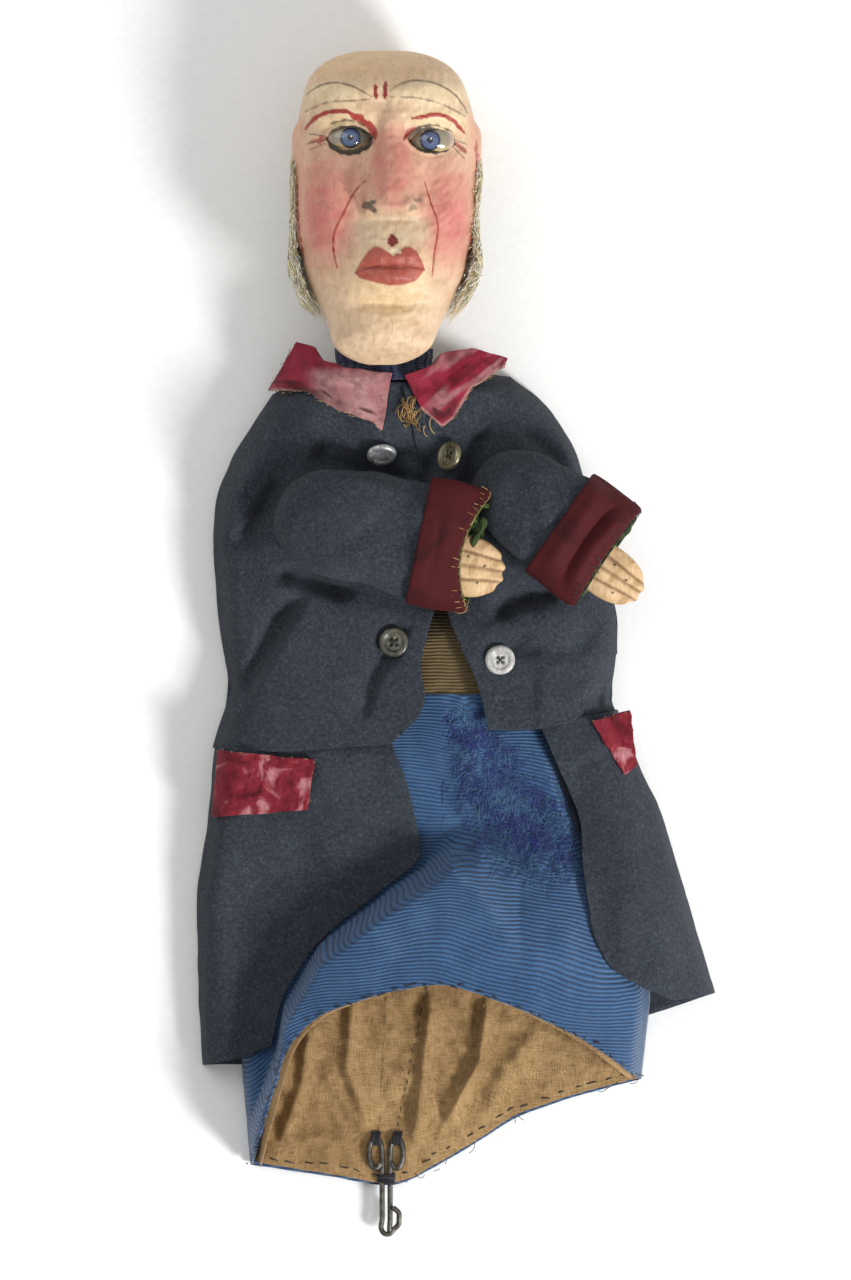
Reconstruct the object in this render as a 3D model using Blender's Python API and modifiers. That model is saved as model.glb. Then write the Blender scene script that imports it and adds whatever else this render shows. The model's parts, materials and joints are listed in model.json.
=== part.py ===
"""Antique hand puppet: a carved wooden head and hands on a cloth glove, in a felt coat, lying on its back.

Metres. +Y runs towards the crown, +X towards the puppet's own left side, +Z out of its chest.
The coat's back lies on z = 0 and the waist is near y = 0. Left and right are the puppet's own.
"""

import math

import bmesh
import bpy
import numpy as np
from mathutils import Matrix, Vector

MM = 0.001

# Overall sizes.
BODY_WIDTH = 200 * MM
BODY_LENGTH = 400 * MM
CHEST_HEIGHT = 30 * MM
HEAD_WIDTH = 90 * MM
HEAD_LENGTH = 157 * MM
HEAD_DEPTH = 80 * MM

# The tailor's pattern is drawn in these units, so it follows the body's two sizes.
ACROSS = BODY_WIDTH / 200
ALONG = BODY_LENGTH / 400

# Cloth, and the clearance left between two layers.
GAP = 0.8 * MM
COAT_CLOTH = 1.8 * MM
GLOVE_CLOTH = 1.4 * MM
LINING_CLOTH = 1.2 * MM
VELVET = 1.6 * MM
COAT_EASE = 2.0 * MM

# Neck and head.
NECK_RADIUS = 21 * MM
NECK_BORE_RADIUS = 11 * MM
NECK_BORE_DEPTH = 62 * MM
NECK_X = -8 * ACROSS
NECK_START_Y = 155 * ALONG
BAND_LENGTH = 15 * MM
BAND_FLARE = 4 * MM
CHIN_RISE = 8 * MM
HEAD_TILT = 0.02
NOSE_HEIGHT = 15 * MM
NOSE_HALF_WIDTH = 9 * MM
EYE_RADIUS = 9 * MM
EYE_SPACING = 40 * MM
HAIR_THICKNESS = 3 * MM
HAIR_EASE = 1.6 * MM

# Arms. Each angle is that of the arm in the plane of the chest.
SLEEVE_HALF_WIDTH = 27 * MM
SLEEVE_CLOTH_SHARE = 0.8
SLEEVE_LINING_SHARE = 0.88
SLEEVE_HALF_HEIGHT = 11.5 * MM
STALL_RADIUS = 9.5 * MM
HAND_LENGTH = 36 * MM
HAND_HALF_WIDTH = 13 * MM
HAND_HALF_HEIGHT = 6.5 * MM
HAND_EASE = 2 * MM
WRIST_DEPTH = 14 * MM
ARMHOLE_RADIUS = 13 * MM
GUSSET_WIDTH = 7 * MM
GUSSET_THICKNESS = 2 * MM
CUFF_LENGTH = 30 * MM
CUFF_HEM = 6 * MM
LINING_DEPTH = 20 * MM
SLEEVE_TAPER = 0.84
SLEEVE_SLANT = 12 * MM
STALL_START = 12 * MM
THROAT_HINGE_RISE = 16 * MM
RIGHT_ARM = {"x": -42 * ACROSS, "y": 84 * ALONG, "angle": -12.0, "sleeve": 76 * MM, "tip": 97 * MM}
LEFT_ARM = {"x": 61 * ACROSS, "y": 96 * ALONG, "angle": -35.0, "sleeve": 46 * MM, "tip": 76 * MM}

# Buttons.
BUTTON_RADIUS = 7.5 * MM
BUTTON_THICKNESS = 2.6 * MM
BUTTON_HOLE_RADIUS = 0.9 * MM
BUTTON_HOLE_OFFSET = 1.9 * MM

# The glove's arched mouth, and the wire hook at its hem.
MOUTH_HEIGHT = 44 * MM
SIDE_HEIGHT = 18 * MM
WIRE_RADIUS = 1.4 * MM
HOOK_LOOP_RADIUS = 4.2 * MM
HOOK_SHANK = 48 * MM
THREAD_RADIUS = 0.6 * MM
GOLD_THREAD_RADIUS = 0.5 * MM

# Heights that follow from the sizes above.
GLOVE_BACK_Z = COAT_CLOTH + GAP
LINING_BACK_Z = GLOVE_BACK_Z + GLOVE_CLOTH + GAP
LINING_TOP_Z = LINING_BACK_Z + LINING_CLOTH
COAT_TOP_Z = CHEST_HEIGHT + COAT_EASE + COAT_CLOTH
BAND_RADIUS = NECK_RADIUS + GAP
NECK_Z = BAND_RADIUS + GLOVE_CLOTH + BAND_FLARE + GLOVE_BACK_Z
THROAT_Z = NECK_Z + NECK_RADIUS
CUFF_HALF_HEIGHT = SLEEVE_HALF_HEIGHT + GAP + VELVET
SLEEVE_CLOTH = SLEEVE_CLOTH_SHARE * COAT_CLOTH
SLEEVE_LINING = SLEEVE_CLOTH_SHARE * LINING_CLOTH
LINING_HALF_WIDTH = SLEEVE_LINING_SHARE * (SLEEVE_HALF_WIDTH - SLEEVE_CLOTH - 0.75 * GAP)
LINING_HALF_HEIGHT = SLEEVE_HALF_HEIGHT - SLEEVE_CLOTH - 0.5 * GAP
STALL_DROP = LINING_HALF_WIDTH - SLEEVE_LINING - HAND_HALF_WIDTH - HAND_EASE
ARM_Z = COAT_TOP_Z + GUSSET_THICKNESS + BUTTON_THICKNESS + GAP + CUFF_HALF_HEIGHT
GUSSET_Z = COAT_TOP_Z + GAP
HEAD_START_Y = NECK_START_Y + CHIN_RISE
HEAD_REST_Z = HAIR_THICKNESS + HAIR_EASE + GAP
CHIN_UNDER = (NECK_Z + BAND_RADIUS + GLOVE_CLOTH + BAND_FLARE + GAP - HEAD_REST_Z) / HEAD_DEPTH

# Pattern outlines, each point as units across and units along.
COAT_RIGHT_SIDE = [(-64, 148), (-82, 121), (-92, 99), (-94, 74), (-91, 33), (-85, 0), (-94, -29)]
COAT_LEFT_SIDE = [(55, 157), (73, 144), (88, 121), (95, 96), (109, 37), (109, 18), (105, -5), (108, -10)]
COAT_RIGHT_TOP = [(-64, 148), (-46, 157), (-40, 150), (0, 149)]
COAT_LEFT_TOP = [(2, 149), (24, 150), (30, 158), (55, 157)]
COAT_RIGHT_EDGE = [(0, 149), (6, 120), (12, 85), (17, 42), (8, 10), (15, -8), (-4, -25)]
COAT_LEFT_EDGE = [(2, 149), (9, 120), (16, 85), (22, 42), (31, 20), (40, 1), (44, -18)]
COAT_RIGHT_HEM = [(-94, -29), (-60, -30), (-4, -25)]
COAT_LEFT_HEM = [(44, -18), (67, -18), (87, -15), (108, -10)]
SKIRT_RIGHT_SIDE = [(-93, -31), (-96, -64), (-102, -102), (-101, -155), (-99, -188)]
SKIRT_RIGHT_EDGE = [(-5, -27), (4, -48), (12, -84), (-14, -104), (-42, -126), (-60, -155), (-64, -176)]
SKIRT_LEFT_SIDE = [(109, -12), (122, -43), (131, -61), (141, -95), (158, -152)]
SKIRT_LEFT_EDGE = [(69, -20), (80, -40), (90, -63), (92, -95), (97, -123), (106, -140), (122, -149)]
CHEST_RIGHT_SIDE = [(-46, 146), (-58, 110), (-60, 60), (-60, -4)]
CHEST_LEFT_SIDE = [(38, 146), (62, 110), (70, 60), (72, -4)]
GLOVE_RIGHT_SIDE = [(-60, -5), (-66, -60), (-74, -120), (-80, -180), (-75, -238)]
GLOVE_LEFT_SIDE = [(72, -5), (88, -60), (108, -110), (126, -150), (121, -195)]
FRONT_HEM = [(-75, -238), (-68, -215), (-57, -178), (-41, -162), (-8, -151), (21, -146), (44, -153), (64, -161), (93, -175), (121, -195)]
BACK_HEM = [(121, -195), (87, -204), (58, -214), (37, -228), (2, -248), (-10, -249), (-28, -245), (-49, -242), (-75, -238)]
DOME_FOOT = [(-80, -226), (-62, -178), (-58, -155), (-40, -124), (-12, -103), (12, -84), (40, -56), (130, -20)]
COLLAR_RIGHT = {
    "top": [(-52, 173), (-43, 171), (-40, 158), (-36, 150), (-4, 150)],
    "bottom": [(-66, 150), (-46, 148), (-32, 139), (-14, 133), (-9, 129)],
}
COLLAR_LEFT = {
    "top": [(7, 150), (22, 152), (25, 168), (37, 171), (53, 165)],
    "bottom": [(12, 143), (21, 135), (27, 138), (36, 151), (53, 162)],
}
POCKET_RIGHT = [(-91, -32), (-43, -36), (-45, -60), (-94, -64)]
POCKET_LEFT = [(96, -18), (112, -15), (116, -36), (112, -43)]
BUTTONS = {
    "button_upper_right": (-9, 119),
    "button_upper_left": (24, 118),
    "button_lower_right": (-3, 24),
    "button_lower_left": (50, 15),
}
HOOK_AT = (-7, -226)

# Head sections from chin to crown: share of the length, half width, front and back, as shares of the head's sizes.
HEAD_SECTIONS = [
    (0.00, 0.02, CHIN_UNDER + 0.12, CHIN_UNDER + 0.06),
    (0.03, 0.17, CHIN_UNDER + 0.20, CHIN_UNDER + 0.02),
    (0.08, 0.27, CHIN_UNDER + 0.24, CHIN_UNDER),
    (0.12, 0.31, 0.91, 0.22),
    (0.20, 0.36, 0.92, 0.11),
    (0.30, 0.44, 0.94, 0.06),
    (0.43, 0.50, 0.92, 0.01),
    (0.58, 0.50, 0.90, 0.00),
    (0.73, 0.50, 0.86, 0.01),
    (0.80, 0.49, 0.92, 0.03),
    (0.88, 0.44, 0.90, 0.08),
    (0.95, 0.36, 0.80, 0.18),
    (0.985, 0.24, 0.68, 0.30),
    (1.00, 0.02, 0.52, 0.48),
]

COLOURS = {
    "painted_wood": ((0.78, 0.58, 0.39, 1), 0.45, 0.0),
    "eye_glass": ((0.25, 0.31, 0.42, 1), 0.08, 0.0),
    "straw_hair": ((0.72, 0.58, 0.33, 1), 0.9, 0.0),
    "blue_satin": ((0.02, 0.035, 0.13, 1), 0.5, 0.0),
    "crimson_velvet": ((0.30, 0.02, 0.05, 1), 0.85, 0.0),
    "burgundy_velvet": ((0.11, 0.01, 0.012, 1), 0.9, 0.0),
    "coat_felt": ((0.042, 0.058, 0.09, 1), 0.95, 0.0),
    "blue_rep": ((0.03, 0.11, 0.34, 1), 0.6, 0.0),
    "brown_rep": ((0.13, 0.08, 0.05, 1), 0.8, 0.0),
    "linen": ((0.25, 0.14, 0.06, 1), 0.9, 0.0),
    "green_print": ((0.05, 0.10, 0.03, 1), 0.8, 0.0),
    "pearl": ((0.45, 0.45, 0.44, 1), 0.25, 0.0),
    "bare_wood": ((0.72, 0.53, 0.36, 1), 0.6, 0.0),
    "iron_wire": ((0.16, 0.15, 0.15, 1), 0.4, 1.0),
    "black_thread": ((0.01, 0.01, 0.012, 1), 0.8, 0.0),
    "gold_thread": ((0.33, 0.22, 0.06, 1), 0.6, 0.0),
}


def clear_scene():
    for item in list(bpy.data.objects):
        bpy.data.objects.remove(item)


def new_collection(name):
    collection = bpy.data.collections.new(name)
    bpy.context.scene.collection.children.link(collection)
    return collection


def make_materials():
    found = {}
    for name, (colour, roughness, metallic) in COLOURS.items():
        material = bpy.data.materials.new(name)
        material.use_nodes = True
        shader = material.node_tree.nodes["Principled BSDF"]
        shader.inputs["Base Color"].default_value = colour
        shader.inputs["Roughness"].default_value = roughness
        shader.inputs["Metallic"].default_value = metallic
        found[name] = material
    return found


clear_scene()
PUPPET = new_collection("hand_puppet")
CUTTERS = new_collection("cutters")
MATERIALS = make_materials()


def unit(points):
    """The pattern's points in metres."""
    return [(x * ACROSS, y * ALONG) for x, y in points]


def add(name, bm, material, smooth=True):
    bmesh.ops.recalc_face_normals(bm, faces=bm.faces)
    mesh = bpy.data.meshes.new(name)
    bm.to_mesh(mesh)
    bm.free()
    for face in mesh.polygons:
        face.use_smooth = smooth
    obj = bpy.data.objects.new(name, mesh)
    mesh.materials.append(MATERIALS[material])
    PUPPET.objects.link(obj)
    return obj


def as_cutter(obj):
    for collection in list(obj.users_collection):
        collection.objects.unlink(obj)
    CUTTERS.objects.link(obj)
    obj.hide_render = True
    obj.display_type = "WIRE"
    return obj


def boolean(obj, other, operation):
    modifier = obj.modifiers.new(other.name, "BOOLEAN")
    modifier.operation = operation
    modifier.solver = "EXACT"
    modifier.object = other


def solidify(obj, thickness, offset=-1.0):
    modifier = obj.modifiers.new("cloth", "SOLIDIFY")
    modifier.thickness = thickness
    modifier.offset = offset
    modifier.use_rim = True


def set_origin(obj, point):
    """Moves the object's origin onto a joint's axis and leaves its shape where it is."""
    obj.data.transform(Matrix.Translation(-Vector(point)))
    obj.location = point


def side_at(points, y):
    """The x of a side seam at y."""
    xs, ys = zip(*unit(points))
    order = np.argsort(ys)
    return np.interp(y, np.array(ys)[order], np.array(xs)[order])


def smooth_step(value):
    value = np.clip(value, 0, 1)
    return value * value * (3 - 2 * value)


def arch(x, low_x, high_x, side, top, power=4.0):
    """A flat-topped arch over the span from low_x to high_x."""
    across = np.clip(2 * (x - low_x) / (high_x - low_x) - 1, -1, 1)
    return side + (top - side) * np.sqrt(1 - np.abs(across) ** power)


def neck_rise(y):
    return smooth_step((y / ALONG - 106) / 42)


def coat_height(x, y):
    """The outer face of the coat's front, which climbs to the throat."""
    top = COAT_TOP_Z + (THROAT_Z - COAT_TOP_Z) * neck_rise(y) * np.exp(-(((x - NECK_X) / (48 * ACROSS)) ** 2))
    side = 2 * COAT_CLOTH + GAP
    return arch(x, side_at(COAT_RIGHT_SIDE, y), side_at(COAT_LEFT_SIDE, y), side, top)


def chest_height(x, y):
    """The outer face of the glove's chest, under the coat."""
    top = CHEST_HEIGHT + (THROAT_Z - COAT_TOP_Z) * neck_rise(y) * np.exp(-(((x - NECK_X) / (44 * ACROSS)) ** 2))
    side = GLOVE_BACK_Z + 2 * GLOVE_CLOTH + GAP
    return arch(x, side_at(CHEST_RIGHT_SIDE, y), side_at(CHEST_LEFT_SIDE, y), side, top)


def skirt_base(x, y, edge=True):
    """The outer face of the glove's skirt: low at the waist and sides, with a high arch at the mouth."""
    right = side_at(GLOVE_RIGHT_SIDE, y)
    left = side_at(GLOVE_LEFT_SIDE, y)
    down = np.clip(-y / ALONG / 120, 0, 1)
    low = CHEST_HEIGHT + (SIDE_HEIGHT - CHEST_HEIGHT) * smooth_step(down)
    foot_x, foot_y = zip(*unit(DOME_FOOT))
    depth = np.interp(x, foot_x, foot_y) - y
    width = np.interp(x / ACROSS, (-60, -10, 30), (72, 48, 95)) * ALONG
    dome = low + (MOUTH_HEIGHT - low) * smooth_step(depth / width)
    crown = arch(x, right - 8 * ACROSS, left + 2 * ACROSS, SIDE_HEIGHT, np.maximum(dome, low), 3.0)
    if not edge:
        return crown
    seam = GLOVE_BACK_Z + 2 * GLOVE_CLOTH + GAP
    inside = np.minimum(x - right, left - x) / (9 * ACROSS)
    return seam + (crown - seam) * np.sqrt(1 - (1 - np.clip(inside, 0, 1)) ** 2)


def offset_from(height, distance):
    """The surface a distance above a height, or below it where the distance is negative, square to its slopes."""

    def moved(x, y):
        best = height(x, y) + distance
        for share in (0.5, 0.8, 1.0):
            rise = distance * math.sqrt(1 - share * share)
            for turn in np.arange(8) * math.pi / 4:
                step = share * abs(distance)
                other = height(x + step * math.cos(turn), y + step * math.sin(turn)) + rise
                best = np.maximum(best, other) if distance > 0 else np.minimum(best, other)
        return best

    return moved


lining_height = offset_from(skirt_base, -(GLOVE_CLOTH + 3 * GAP))


def coat_skirt_height(x, y):
    """The coat's skirt lies on the glove's skirt and comes down to the back at its own side seams."""
    over = skirt_base(x, y, edge=False) + COAT_EASE + COAT_CLOTH
    waist = coat_height(x, np.full_like(y, -12 * ALONG)) * (1 - 0.6 * smooth_step((-y / ALONG - 30) / 70))
    top = np.maximum(over, waist)
    side = 2 * COAT_CLOTH + GAP
    right = side_at(SKIRT_RIGHT_SIDE, y)
    left = side_at(SKIRT_LEFT_SIDE, y)
    inside = np.clip(np.minimum(x - right, left - x) / (16 * ACROSS), 0, 1)
    return side + (top - side) * np.sqrt(1 - (1 - inside) ** 2)


def along(points, share):
    """Points at equal shares of a polyline's length."""
    points = np.array(points)
    length = np.concatenate([[0], np.cumsum(np.hypot(*np.diff(points, axis=0).T))])
    where = share * length[-1]
    return np.stack([np.interp(where, length, points[:, 0]), np.interp(where, length, points[:, 1])], axis=-1)


def cloth_panel(name, top, bottom, right, left, height, thickness, material, rows=9, columns=9):
    """A sheet between four edges, draped on a height. Right and left run down, top and bottom run from right to left."""
    bm = bmesh.new()
    bmesh.ops.create_grid(bm, x_segments=columns, y_segments=rows, size=0.5)
    flat = np.array([vertex.co[:] for vertex in bm.verts])
    u, v = flat[:, :1] + 0.5, 0.5 - flat[:, 1:2]
    across = (1 - v) * along(top, u[:, 0]) + v * along(bottom, u[:, 0])
    down = (1 - u) * along(right, v[:, 0]) + u * along(left, v[:, 0])
    corners = (1 - u) * (1 - v) * top[0] + u * (1 - v) * top[-1] + (1 - u) * v * bottom[0] + u * v * bottom[-1]
    placed = across + down - corners
    z = height(placed[:, 0], placed[:, 1])
    for vertex, (x, y), high in zip(bm.verts, placed, z):
        vertex.co = (x, y, high)
    obj = add(name, bm, material)
    if sum(face.normal.z for face in obj.data.polygons) < 0:
        obj.data.flip_normals()
    solidify(obj, thickness)
    return obj


def flat_panel(name, outline, low_z, thickness, material):
    """A flat back panel cut to an outline."""
    curve = bpy.data.curves.new(name, "CURVE")
    curve.dimensions = "2D"
    curve.fill_mode = "BOTH"
    curve.extrude = thickness / 2
    spline = curve.splines.new("POLY")
    spline.points.add(len(outline) - 1)
    for point, (x, y) in zip(spline.points, outline):
        point.co = (x, y, 0, 1)
    spline.use_cyclic_u = True
    curve.materials.append(MATERIALS[material])
    obj = bpy.data.objects.new(name, curve)
    obj.location.z = low_z + thickness / 2
    PUPPET.objects.link(obj)
    return obj


def wire(name, points, radius, material, resolution=2):
    curve = bpy.data.curves.new(name, "CURVE")
    curve.dimensions = "3D"
    curve.bevel_depth = radius
    curve.bevel_resolution = resolution
    curve.use_fill_caps = True
    spline = curve.splines.new("POLY")
    spline.points.add(len(points) - 1)
    for point, place in zip(spline.points, points):
        point.co = (*place, 1)
    curve.materials.append(MATERIALS[material])
    obj = bpy.data.objects.new(name, curve)
    PUPPET.objects.link(obj)
    return obj


def cylinder(name, radius, start, end, material, segments=40, end_radius=None):
    start, end = Vector(start), Vector(end)
    bm = bmesh.new()
    turn = (end - start).to_track_quat("Z", "Y").to_matrix().to_4x4()
    bmesh.ops.create_cone(
        bm,
        cap_ends=True,
        segments=segments,
        radius1=radius,
        radius2=radius if end_radius is None else end_radius,
        depth=(end - start).length,
        matrix=Matrix.Translation((start + end) / 2) @ turn,
    )
    return add(name, bm, material)


# ---------------------------------------------------------------- head


def head_section(y):
    """Centre x, half width, front z and back z of the head at y."""
    share = np.clip((y - HEAD_START_Y) / HEAD_LENGTH, 0, 1)
    stations, half, front, back = (np.array(column) for column in zip(*HEAD_SECTIONS))
    centre = NECK_X + HEAD_TILT * (y - NECK_START_Y)
    width = np.interp(share, stations, half) * HEAD_WIDTH
    return centre, width, HEAD_REST_Z + np.interp(share, stations, front) * HEAD_DEPTH, HEAD_REST_Z + np.interp(share, stations, back) * HEAD_DEPTH


def head_point(y, angle, grow=0.0):
    """A point of the head's surface, at an angle round the neck's line. The front is at a quarter turn."""
    centre, half, front, back = head_section(y)
    middle = (front + back) / 2
    power = 0.82
    side, depth = np.cos(angle), np.sin(angle)
    x = centre + (half + grow) * np.sign(side) * np.abs(side) ** power
    z = middle + ((front - back) / 2 + grow) * np.sign(depth) * np.abs(depth) ** power
    return x, z


def nose(x, y):
    """The nose, which rises from the brow and ends sharply over the lip."""
    share = (y - HEAD_START_Y) / HEAD_LENGTH
    rise = smooth_step((0.76 - share) / 0.25) * smooth_step((share - 0.43) / 0.05)
    centre = head_section(y)[0]
    return NOSE_HEIGHT * rise * np.exp(-(((x - centre) / NOSE_HALF_WIDTH) ** 2))


def make_head():
    bm = bmesh.new()
    bmesh.ops.create_uvsphere(bm, u_segments=30, v_segments=18, radius=1)
    for vertex in bm.verts:
        share = 0.5 + math.asin(max(-1, min(1, vertex.co.z))) / math.pi
        y = HEAD_START_Y + HEAD_LENGTH * share
        angle = math.atan2(vertex.co.y, vertex.co.x)
        x, z = head_point(y, angle)
        front = max(0.0, math.sin(angle))
        vertex.co = (x, y, z + nose(x, y) * min(1.0, 2 * front))
    head = add("head", bm, "painted_wood")
    start = Vector((NECK_X, NECK_START_Y, NECK_Z))
    neck = cylinder("neck_stem", NECK_RADIUS, start, start + Vector((0, HEAD_LENGTH * 0.28, 0)), "painted_wood")
    boolean(head, as_cutter(neck), "UNION")
    bore = cylinder("neck_bore", NECK_BORE_RADIUS, start - Vector((0, GAP, 0)), start + Vector((0, NECK_BORE_DEPTH, 0)), "painted_wood", 32)
    boolean(head, as_cutter(bore), "DIFFERENCE")
    eye_y = HEAD_START_Y + 0.715 * HEAD_LENGTH
    centre, _, front, _ = head_section(eye_y)
    for name, side in (("eye_right", -1), ("eye_left", 1)):
        place = Vector((centre + side * EYE_SPACING / 2, eye_y, front - EYE_RADIUS))
        for made, grow in ((name, 0), (name + "_socket", 0.5 * MM)):
            ball = bmesh.new()
            bmesh.ops.create_uvsphere(ball, u_segments=12, v_segments=6, radius=EYE_RADIUS + grow, matrix=Matrix.Translation(place))
            obj = add(made, ball, "eye_glass")
            if grow:
                boolean(head, as_cutter(obj), "DIFFERENCE")
    return head


def make_hair():
    """A fringe of fibre glued round the back of the head from ear to ear."""
    bm = bmesh.new()
    bmesh.ops.create_grid(bm, x_segments=18, y_segments=4, size=0.5)
    for vertex in bm.verts:
        angle = math.radians(188 + 164 * (vertex.co.x + 0.5))
        y = HEAD_START_Y + HEAD_LENGTH * (0.25 + 0.42 * (vertex.co.y + 0.5))
        x, z = head_point(y, angle, HAIR_EASE)
        vertex.co = (x, y, z)
    hair = add("hair_fringe", bm, "straw_hair")
    centre = Vector((NECK_X, 0, NECK_Z))
    outward = sum((face.center - centre).dot(Vector((face.normal.x, 0, face.normal.z))) for face in hair.data.polygons)
    if outward < 0:
        hair.data.flip_normals()
    solidify(hair, HAIR_THICKNESS, 1.0)


def make_neck_band():
    """The gathered cloth tied round the neck, a little wider where it meets the coat."""
    bm = bmesh.new()
    bmesh.ops.create_cone(bm, cap_ends=False, segments=40, radius1=BAND_RADIUS + BAND_FLARE, radius2=BAND_RADIUS, depth=BAND_LENGTH)
    turn = Matrix.Rotation(math.radians(-90), 4, "X")
    place = Matrix.Translation((NECK_X, NECK_START_Y + GAP + BAND_LENGTH / 2, NECK_Z))
    bmesh.ops.transform(bm, matrix=place @ turn, verts=bm.verts)
    band = add("neck_band", bm, "blue_satin")
    solidify(band, GLOVE_CLOTH, 1.0)


# ---------------------------------------------------------------- coat


def make_coat():
    pivots = [(arm["x"], arm["y"]) for arm in (RIGHT_ARM, LEFT_ARM)]
    holes = []
    for side, (x, y) in zip(("right", "left"), pivots):
        hole = cylinder("armhole_" + side, ARMHOLE_RADIUS, (x, y, GLOVE_BACK_Z + 4 * GAP + GLOVE_CLOTH), (x, y, COAT_TOP_Z + 6 * GAP), "coat_felt", 32)
        holes.append(as_cutter(hole))
    panels = {
        "right": (COAT_RIGHT_TOP, COAT_RIGHT_HEM, COAT_RIGHT_SIDE, COAT_RIGHT_EDGE),
        "left": (COAT_LEFT_TOP, COAT_LEFT_HEM, COAT_LEFT_EDGE, COAT_LEFT_SIDE),
    }
    for hole, (side, edges) in zip(holes, panels.items()):
        front = cloth_panel("coat_front_" + side, *map(unit, edges), coat_height, COAT_CLOTH, "coat_felt", rows=12)
        boolean(front, hole, "DIFFERENCE")
    chest = cloth_panel(
        "glove_chest_front",
        unit([CHEST_RIGHT_SIDE[0], CHEST_LEFT_SIDE[0]]),
        unit([CHEST_RIGHT_SIDE[-1], CHEST_LEFT_SIDE[-1]]),
        unit(CHEST_RIGHT_SIDE),
        unit(CHEST_LEFT_SIDE),
        chest_height,
        GLOVE_CLOTH,
        "brown_rep",
        columns=14,
    )
    for hole in holes:
        boolean(chest, hole, "DIFFERENCE")
    back = unit(COAT_RIGHT_SIDE)[::-1] + unit([(-46, 158), (-30, 163), (14, 165), (30, 160)]) + unit(COAT_LEFT_SIDE[:-2]) + unit([(104, -19)])
    back[0] = (back[0][0] + 4 * ACROSS, -19 * ALONG)
    flat_panel("coat_back", back, 0, COAT_CLOTH, "coat_felt")
    tail = unit([(-89, -20), (104, -20)] + SKIRT_LEFT_SIDE[1:] + [(122, -160), (60, -176), (-99, -187)] + SKIRT_RIGHT_SIDE[-2:0:-1])
    flat_panel("coat_skirt_back", tail, 0, COAT_CLOTH, "coat_felt")
    cloth_panel(
        "coat_skirt_right",
        unit([SKIRT_RIGHT_SIDE[0], (-60, -32), SKIRT_RIGHT_EDGE[0]]),
        unit([SKIRT_RIGHT_SIDE[-1], (-78, -183), SKIRT_RIGHT_EDGE[-1]]),
        unit(SKIRT_RIGHT_SIDE),
        unit(SKIRT_RIGHT_EDGE),
        coat_skirt_height,
        COAT_CLOTH,
        "coat_felt",
        rows=12,
    )
    cloth_panel(
        "coat_skirt_left",
        unit([SKIRT_LEFT_EDGE[0], (88, -17), SKIRT_LEFT_SIDE[0]]),
        unit([SKIRT_LEFT_EDGE[-1], (137, -154), SKIRT_LEFT_SIDE[-1]]),
        unit(SKIRT_LEFT_EDGE),
        unit(SKIRT_LEFT_SIDE),
        coat_skirt_height,
        COAT_CLOTH,
        "coat_felt",
        rows=11,
    )


def collar_height(x, y):
    """The collar lies on the coat's shoulders and stands a little round the neck."""
    return coat_height(x, np.minimum(y, 146 * ALONG))


def make_trims():
    for side, shape in (("right", COLLAR_RIGHT), ("left", COLLAR_LEFT)):
        top, bottom = unit(shape["top"]), unit(shape["bottom"])
        cloth_panel("collar_" + side, top, bottom, [top[0], bottom[0]], [top[-1], bottom[-1]], offset_from(collar_height, VELVET + 2 * GAP), VELVET, "crimson_velvet", 4, 9)
    for side, shape in (("right", POCKET_RIGHT), ("left", POCKET_LEFT)):
        a, b, c, d = unit(shape)
        lifted = offset_from(coat_skirt_height, VELVET + 2 * GAP)
        cloth_panel("pocket_flap_" + side, [a, b], [d, c], [a, d], [b, c], lifted, VELVET, "crimson_velvet", 3, 5)
    for name, place in BUTTONS.items():
        (x, y), = unit([place])
        step = 0.5 * MM
        z = float(coat_height(x, y))
        slope = Vector((float(coat_height(x + step, y)) - z, float(coat_height(x, y + step)) - z, 0)) / step
        normal = Vector((-slope.x, -slope.y, 1)).normalized()
        rim = np.linspace(0, 2 * math.pi, 12, endpoint=False)
        rim_x, rim_y = x + BUTTON_RADIUS * np.cos(rim), y + BUTTON_RADIUS * np.sin(rim)
        above = coat_height(rim_x, rim_y) - z - slope.x * (rim_x - x) - slope.y * (rim_y - y)
        base = Vector((x, y, z)) + normal * (1.5 * GAP + max(0.0, float(above.max())))
        button = cylinder(name, BUTTON_RADIUS, base, base + normal * BUTTON_THICKNESS, "pearl", 24, BUTTON_RADIUS * 0.9)
        side = normal.orthogonal().normalized()
        for quarter in range(4):
            offset = Matrix.Rotation(math.radians(45 + 90 * quarter), 3, normal) @ side * BUTTON_HOLE_OFFSET
            hole = cylinder(f"{name}_hole_{quarter}", BUTTON_HOLE_RADIUS, base + offset - normal * GAP, base + offset + normal * (BUTTON_THICKNESS + GAP), "pearl", 6)
            boolean(button, as_cutter(hole), "DIFFERENCE")
    tangle = []
    for index in range(26):
        turn = index * 1.1
        x = (3 + 2.6 * math.sin(turn)) * ACROSS
        y = (131 + 0.62 * index + 1.6 * math.cos(turn * 1.7)) * ALONG
        z = float(coat_height(x, y)) + GAP + (1.6 + 0.9 * math.sin(turn * 2.3)) * MM + 3 * GOLD_THREAD_RADIUS
        tangle.append((x, y, z))
    wire("collar_gold_thread", tangle, GOLD_THREAD_RADIUS, "gold_thread", 1)


# ---------------------------------------------------------------- glove


def inset(points, by):
    """The outline moved towards its middle by a share."""
    middle = np.mean(points, axis=0)
    return [tuple(middle + (np.array(point) - middle) * (1 - by)) for point in points]


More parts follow.
